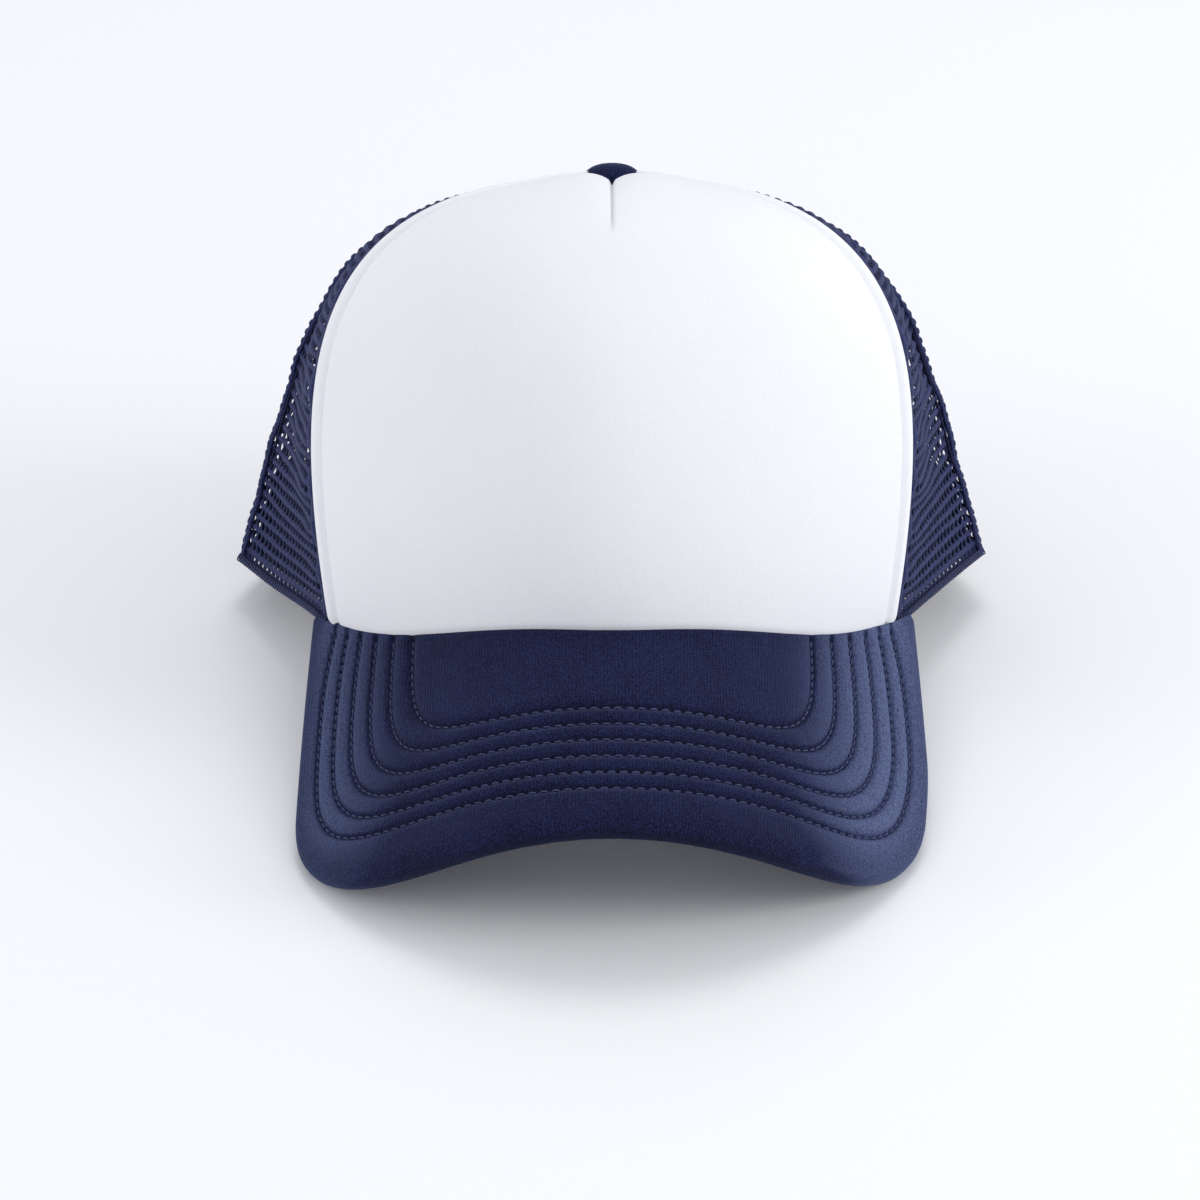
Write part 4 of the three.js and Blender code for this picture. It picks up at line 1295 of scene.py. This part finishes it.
def bill_top():
    """The padded top cover, rolled over the edge of the bill."""
    edge_round, turned_to, behind = 3.0, 5.0, 2.5
    side = SIDES
    seam, front = bill_edges(side)
    length = np.linalg.norm(front - seam, axis=-1)[:, None]
    flat_part = np.linspace(0, 1, 122)[None]
    turns_over = np.linspace(0, math.pi / 2, 7)[None, 1:]
    first = -behind + (length - edge_round + behind) * flat_part

    def profile(bend, end_along, end_depth):
        """Distance along and depth of a skin that turns the edge with a radius of bend."""
        start = edge_round - bend
        along = [first, length - edge_round + bend * np.sin(turns_over),
                 length - start + np.array([end_along])]
        depth = [np.full(first.shape, start), edge_round - bend * np.cos(turns_over),
                 turned_to + np.array([end_depth])]
        depth[1:] = [np.broadcast_to(part, (len(side), part.shape[1])) for part in depth[1:]]
        return np.concatenate(along, 1), np.concatenate(depth, 1)

    outer_along, outer_depth = profile(edge_round, (0.0, -0.25, -0.9), (-0.6, -0.1, 0.0))
    inner_along, inner_depth = profile(edge_round - BILL_COVER_THICK, (0.0, -0.1, -0.4),
                                       (-1.0, -0.7, -0.6))

    def flat(along):
        return seam[:, None] + (front - seam)[:, None] * (along / length)[..., None]

    outer_flat, inner_flat = flat(outer_along), flat(inner_along)
    lift, shade = quilting(outer_flat[..., 0], outer_flat[..., 1])
    near_edge = 1 - smooth_step(outer_along, length - 5, length - 0.5)
    near_seam = smooth_step(outer_along, -1.5, 0.5)
    lift = lift * near_edge * near_seam - shoulder(length - outer_along)
    outer = bent_bill(outer_flat[..., 0], outer_flat[..., 1], outer_depth - lift)
    inner = bent_bill(inner_flat[..., 0], inner_flat[..., 1], inner_depth - lift)
    aside = np.abs(outer_flat[..., 0])
    # Painted shade along the front band of the cover, strongest at its edge.
    rim = 1 - smooth_step(length - outer_along, 2, 13)
    # Painted sheen on the sides of the bill, stronger on the right and weaker near the front edge.
    painted_sheen = np.where(outer_flat[..., 0] > 0, smooth_step(aside, 42, 80) * (1 - 0.45 * rim),
                    0.66 * smooth_step(aside, 55, 86) * (1 - 0.7 * rim))
    # Painted shade where the cover turns under at the front edge, away from the corners.
    under = smooth_step(outer_depth, 0.4, 3) * (1 - smooth_step(aside, 55, 80))
    # Painted shade in the stitch rows, weaker under the painted sheen; then the painted shade of
    # the turned-under edge and front band is added.
    dark = shade * near_edge * (1 - 0.55 * painted_sheen)
    painted_light = np.where(dark > 0.05, dark, 0) - painted_sheen * (1 - 0.75 * shade)
    painted_light = painted_light * (1 - under) + 0.6 * under
    painted_light = painted_light + 0.16 * rim * (1 - under) * (1 - smooth_step(aside, 50, 72))
    pile = add_shell(Pile(), outer, inner, outer_flat.reshape(-1, 2), painted_light)
    piece = pile.build("bill_top_knit", NAVY_CLOTH)
    place(piece, "navy_cloth", "bill_top_cover")
    return piece


def bill_layer(name, outer_depth, inner_depth, edge, material, columns=60, quilt=0.0,
               behind=0.0, ends=1.0):
    """A plain layer of the bill that follows the quilting by a share. Ends is how near to the
    horns it comes."""
    side = SIDES[::2] * ends
    seam, front = bill_edges(side)
    length = np.linalg.norm(front - seam, axis=-1)[:, None]
    along = -behind + (length - edge + behind) * np.linspace(0, 1, columns)[None]
    flat = seam[:, None] + (front - seam)[:, None] * (along / length)[..., None]
    lift = 0
    if quilt:
        lift = quilting(flat[..., 0], flat[..., 1], quilt)[0] * smooth_step(along, 0, 1)
        lift = lift * (1 - smooth_step(along, length - 6, length - 3))
        lift = lift - shoulder(length - along)
    outer = bent_bill(flat[..., 0], flat[..., 1], outer_depth - lift)
    inner = bent_bill(flat[..., 0], flat[..., 1], inner_depth + np.zeros_like(along))
    pile = add_shell(Pile(), outer, inner, flat.reshape(-1, 2))
    return soften_rim(pile.build(name, material))


def bill_layers():
    foam = bill_layer("bill_foam", BILL_FOAM[0] + 0.1, BILL_FOAM[1], 3.4, FOAM, quilt=0.5,
                      ends=0.95)
    place(foam, "foam", "bill_padding")
    under = bill_layer("bill_under_knit", BILL_UNDER, BILL_UNDER + BILL_COVER_THICK, 1.5,
                       NAVY_CLOTH, columns=90, behind=2.5)
    place(under, "navy_cloth", "bill_bottom_cover")
    plate = bill_layer("bill_plate", BILL_PLATE[0], BILL_PLATE[1], 2.8, BOARD, ends=0.95)
    place(plate, "board_plastic", "bill_board")


def bill_stitches():
    pile = Pile()
    for line in ROW_LINES:
        fine = at_lengths(line, np.arange(0, lengths_along(line)[-1], 0.4))
        seam = seam_ahead(np.minimum(np.abs(fine[:, 0]), HORN_ACROSS))
        across, ahead = fine[~(fine[:, 1] < seam + 0.3)].T
        for depth, out in ((0.85, 1), (BILL_UNDER + BILL_COVER_THICK, -1)):
            points = bent_bill(across, ahead, depth)
            above = bent_bill(across, ahead, depth - 1)
            add_stitches(pile, points, (above - points) * out, lift=0.0, radius=0.2)
    place(pile.build("bill_stitches", NAVY_THREAD), "navy_cloth")


# ---- button


def seat_place(radius, turn, height):
    """A point at a radius and turn round the button's axis, and a height above its seat."""
    x = radius * np.cos(turn)
    y = radius * np.sin(turn)
    slope = CROWN_TOP_SLOPE
    return CROWN_TOP + np.stack([
        x,
        y * math.cos(slope) + height * math.sin(slope),
        height * math.cos(slope) - y * math.sin(slope),
    ], -1)


def lathe(profile, around=96, pleats=0.0):
    """A body turned round the button's axis. The profile starts and ends on the axis. The
    pleats gather towards the rim."""
    turn = turns(around)
    radius, height = profile[1:-1, 0, None], profile[1:-1, 1, None]
    share = radius / BUTTON_RADIUS
    radius = radius + pleats * share**4 * np.cos(turn * 12 + 0.6 * np.sin(turn * 5))
    points = seat_place(radius, turn, np.broadcast_to(height, radius.shape))
    rings = len(profile) - 2
    index, closed = ring_index(rings, around)
    poles = seat_place(np.zeros(2), np.zeros(2), profile[[0, -1], 1])
    all_points = np.concatenate([points.reshape(-1, 3), poles])
    first, last = rings * around, rings * around + 1
    after = np.roll(index, -1, 1)
    fans = [np.stack([np.full(around, first), after[0], index[0]], -1),
            np.stack([np.full(around, last), index[-1], after[-1]], -1)]
    faces = outward(all_points, [grid_quads(closed), *fans])
    cloth = np.concatenate([
        np.stack([points[..., 0], points[..., 1]], -1).reshape(-1, 2), np.zeros((2, 2))])
    return Pile().add(all_points, faces, cloth)


def dome(radius, height, base):
    angle = np.linspace(0, math.pi / 2, 16)
    power = 2 / 2.3
    return np.stack([radius * np.sin(angle) ** power,
                     base + (height - base) * np.cos(angle) ** power], -1)


def button():
    outer = dome(BUTTON_RADIUS, 3.6, -0.9)
    inner = dome(BUTTON_RADIUS - 0.8, 2.85, -0.9)[::-1]
    rim = np.array([[-0.1, -1.7], [-0.5, -1.95], [-0.8, -1.7]]) + [BUTTON_RADIUS, 0]
    cover = lathe(np.concatenate([outer, rim, inner]), pleats=0.1)
    piece = place(cover.build("button_cloth", NAVY_CLOTH), "navy_cloth", "button_cover")
    outer = dome(BUTTON_RADIUS - 1.1, 2.6, 0.4)
    inner = dome(BUTTON_RADIUS - 1.6, 2.1, 0.4)[::-1]
    disc = lathe(np.concatenate([outer, inner]), around=64)
    place(disc.build("button_disc", METAL), "button_metal", "button_shell")
    washer = [[0, -3.75], [4.6, -3.7], [5.7, -3.5], [6.0, -3.25], [5.7, -3.1]]
    shank = [[1.7, -3.0], [1.3, -2.6], [1.3, 1.1], [1.1, 1.35], [0, 1.4]]
    rivet = lathe(np.array(washer + shank), around=64)
    place(rivet.build("rivet", METAL), "button_metal", "button_rivet")


# ---- snap straps

STRAP_ROOT = 47.5
STRAP_MIDDLE = 8.0
STRAP_ROOT_DEPTH = 3.1
STRAP_APEX_DEPTH = {"hole": 2.0, "peg": 3.8}
STRAP_HEIGHT = 14.6
STRAP_TIP_HEIGHT = 12.0
STRAP_THICK = 1.0
STRAP_LIFT = 0.7
STRAP_TIP = 25.5
STRAP_PITCH = 9.5
STRAP_HOLES = range(-2, 5)
HOLE_RADIUS = 2.2
PEG_RADIUS = 1.45
PEG_TOP = 2.9


def strap_arc(kind):
    root = crown(BACK_SEAM - STRAP_ROOT, STRAP_MIDDLE, STRAP_ROOT_DEPTH)[0]
    apex = crown(BACK_SEAM, STRAP_MIDDLE, STRAP_APEX_DEPTH[kind])[0, 1]
    sagitta = apex - root[1]
    radius = (root[0] ** 2 + sagitta**2) / (2 * sagitta)
    return root, radius, apex - radius


def strap_place(kind, x, z, out):
    """x mm along the strap from the middle of the back towards its root, z mm above its
    middle line, out mm behind its middle surface."""
    side = 1 if kind == "hole" else -1
    _, radius, centre = strap_arc(kind)
    angle = x / radius
    reach = radius + out
    middle = GROUND + STRAP_LIFT + STRAP_HEIGHT / 2
    return np.stack([side * reach * np.sin(angle), centre + reach * np.cos(angle), middle + z], -1)


def strap_half_height(x):
    full, slim = STRAP_HEIGHT / 2, STRAP_TIP_HEIGHT / 2
    body = slim + (full - slim) * smooth_step(x, 24, 34)
    left = np.clip((x + STRAP_TIP) / slim, 0, 1)
    tip = slim * (1 - (1 - np.sqrt(left)) ** 2)
    return np.minimum(body, np.where(left < 1, tip, body))


def strap_square(steps=8):
    """Points round a square with half sides of 1."""
    share = np.arange(steps) / steps * 2 - 1
    ones = np.ones(steps)
    sides = (ones, share), (-share, ones), (-ones, -share), (share, -ones)
    return np.concatenate([np.stack(side, -1) for side in sides])


def strap(kind):
    """One half of the snap closure, with holes or with pegs."""
    pile = Pile()
    root, radius, _ = strap_arc(kind)
    root_x = math.asin(root[0] / radius) * radius
    half = STRAP_THICK / 2
    square = strap_square()
    turn = np.arctan2(square[:, 1], square[:, 0])
    pierced = kind == "hole"
    circle = np.stack([np.cos(turn), np.sin(turn)], -1)
    rim = [(HOLE_RADIUS, -0.12), (HOLE_RADIUS + 0.12, 0.0), (HOLE_RADIUS + 0.75, 0.0),
           (HOLE_RADIUS + 0.95, -0.14)]
    if not pierced:
        rim = [(PEG_RADIUS, 0.0), (PEG_RADIUS + 0.3, 0.0), (PEG_RADIUS + 0.75, -0.06),
               (PEG_RADIUS + 0.95, -0.14)]
    for number in STRAP_HOLES:
        middle = number * STRAP_PITCH
        reach = STRAP_PITCH / 2
        corner_x = middle + square[:, 0] * reach
        edge = np.stack([corner_x, square[:, 1] * strap_half_height(corner_x)], -1)
        rings = [(np.array([middle, 0]) + circle * size, half + 0.14 + down) for size, down in rim]
        last = rings[-1][0]
        for blend_share in (0.45, 0.85):
            rings.append((last + (edge - last) * blend_share, half))
        rings.append((edge, half - 0.12 * (np.abs(square[:, 1]) > 0.99)))
        top = [strap_place(kind, ring[:, 0], ring[:, 1], out) for ring, out in rings]
        under = [strap_place(kind, ring[:, 0], ring[:, 1], -out if pierced else -half)
                 for ring, out in rings]
        if pierced:
            add_strap_cell(pile, np.stack(under[::-1] + top), square)
        else:
            add_strap_cell(pile, np.stack(top), square, closed=False)
            add_strap_cell(pile, np.stack(under[::-1]), square, closed=False)
            add_peg(pile, kind, middle)
    add_strap_ends(pile, kind, root_x, half)
    piece = pile.build(f"snap_strap_{kind}s", STRAP_PLASTIC, sharp=40)
    weld = piece.modifiers.new("weld", "WELD")
    weld.merge_threshold = 1e-5
    soften_rim(piece, 0.18)
    place(piece, "strap_plastic", f"{kind}_strap", body=f"{kind}_strap")


def add_strap_cell(pile, loops, square, closed=True):
    """The skin of one cell. Its upper and lower outer edges get a wall, and its ends are
    shared with the next cell."""
    index, around = ring_index(*loops.shape[:2])
    faces = [grid_quads(around)]
    if closed:
        after = np.roll(index, -1, 1)
        wall = (np.abs(square[:, 1]) > 0.99) & (np.abs(np.roll(square[:, 1], -1)) > 0.99)
        faces.append(np.stack([index[-1], after[-1], after[0], index[0]], -1)[wall])
    points = loops.reshape(-1, 3)
    cloth = np.zeros((len(points), 2))
    pile.add(points, [group[:, ::-1] for group in faces], cloth)


def add_strap_ends(pile, kind, root_x, half):
    """The plain lengths at the tip and at the root."""
    first = (STRAP_HOLES[0] - 0.5) * STRAP_PITCH
    last = (STRAP_HOLES[-1] + 0.5) * STRAP_PITCH
    tip = -STRAP_TIP + (first + STRAP_TIP) * np.linspace(0.02, 1, 8) ** 2
    for places in (tip, np.linspace(last, root_x, 8)):
        z = np.linspace(-1, 1, 9)
        x = np.broadcast_to(places[:, None], (len(places), 9))
        z = z * strap_half_height(x)
        top = strap_place(kind, x, z, half)
        under = strap_place(kind, x, z, -half)
        add_shell(pile, top, under, np.zeros((x.size, 2)))


def add_peg(pile, kind, middle):
    """A round peg with a slightly wider head."""
    profile = [(PEG_RADIUS + 0.25, 0.4), (PEG_RADIUS, 0.75), (PEG_RADIUS - 0.05, PEG_TOP - 1.3),
               (PEG_RADIUS + 0.12, PEG_TOP - 0.9), (PEG_RADIUS + 0.1, PEG_TOP - 0.45),
               (PEG_RADIUS - 0.35, PEG_TOP - 0.1), (PEG_RADIUS - 0.9, PEG_TOP)]
    turn = turns(28)
    loops = np.stack([
        strap_place(kind, middle + size * np.cos(turn), size * np.sin(turn), out)
        for size, out in profile])
    add_tube(pile, loops, None)


def strap_tabs():
    """The ends of the straps that are sewn in behind the binding."""
    for name, _ in LEFT_RIGHT:
        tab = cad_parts[f"strap_tab_{name}"]
        tab.data.materials.clear()
        tab.data.materials.append(STRAP_PLASTIC)


# ---- camera, light and floor

CAMERA_ELEVATION = math.radians(31)
CAMERA_DISTANCE = 1.1
CAMERA_LENS = 134.6
CAMERA_SHIFT = (-0.010, 0.0275)


def camera():
    data = bpy.data.cameras.new("camera")
    data.lens = CAMERA_LENS
    data.sensor_width = 36
    data.shift_x, data.shift_y = CAMERA_SHIFT
    view = bpy.data.objects.new("camera", data)
    target = Vector(to_frame(np.zeros(3)))
    back = Vector((0, -math.cos(CAMERA_ELEVATION), math.sin(CAMERA_ELEVATION)))
    view.location = target + back * CAMERA_DISTANCE
    view.rotation_euler = (math.pi / 2 - CAMERA_ELEVATION, 0, 0)
    bpy.context.scene.collection.objects.link(view)
    bpy.context.scene.camera = view


def softbox(name, place_at, size, watts, colour=(1, 1, 1)):
    data = bpy.data.lights.new(name, "AREA")
    data.shape = "DISK"
    data.size = size
    data.energy = watts
    data.color = colour
    lamp = bpy.data.objects.new(name, data)
    lamp.location = place_at
    aim = Vector((0, 0, 0.06)) - Vector(place_at)
    lamp.rotation_euler = aim.to_track_quat("-Z", "Y").to_euler()
    bpy.context.scene.collection.objects.link(lamp)


def studio():
    world = bpy.data.worlds.new("studio")
    world.use_nodes = True
    sky = world.node_tree.nodes["Background"]
    sky.inputs["Color"].default_value = (0.93, 0.95, 1.0, 1)
    sky.inputs["Strength"].default_value = 0.7
    bpy.context.scene.world = world
    softbox("key_light", (1.5, -0.5, 0.8), 0.8, 10)
    softbox("fill_light", (-1.5, -0.5, 0.6), 0.8, 4)
    softbox("top_light", (0.1, 0.6, 1.7), 0.8, 6)
    bpy.context.scene.view_settings.view_transform = "Standard"
    floor_mesh = bpy.data.meshes.new("floor")
    reach = 6
    corners = ((-reach, -reach), (reach, -reach), (reach, reach), (-reach, reach))
    floor_mesh.from_pydata([(x, y, 0) for x, y in corners], [], [(0, 1, 2, 3)])
    floor = bpy.data.objects.new("floor", floor_mesh)
    bpy.context.scene.collection.objects.link(floor)
    paper = Nodes("floor_paper")
    grain = paper.noise(400, 2.0)
    shade = paper.mix(grain, (0.95, 0.95, 0.96), (0.97, 0.97, 0.98))
    floor_mesh.materials.append(paper.finish(shade, 0.95))


# ---- everything

camera()
studio()
front_foam()
front_panel()
front_panel_stitches()
inside_tapes()
for side_name, sign in LEFT_RIGHT:
    mesh_fabric(f"side_mesh_fabric_{side_name}", f"side_mesh_{side_name}",
                sign * FRONT_SEAM, sign * SIDE_SEAM)
    mesh_fabric(f"rear_mesh_fabric_{side_name}", f"rear_mesh_{side_name}",
                sign * SIDE_SEAM, sign * BACK_SEAM, arch=True)
seam_topstitches()
hems()
arch_binding()
bill_tape()
sweatband()
bill_top()
bill_layers()
bill_stitches()
button()
strap("hole")
strap("peg")
strap_tabs()
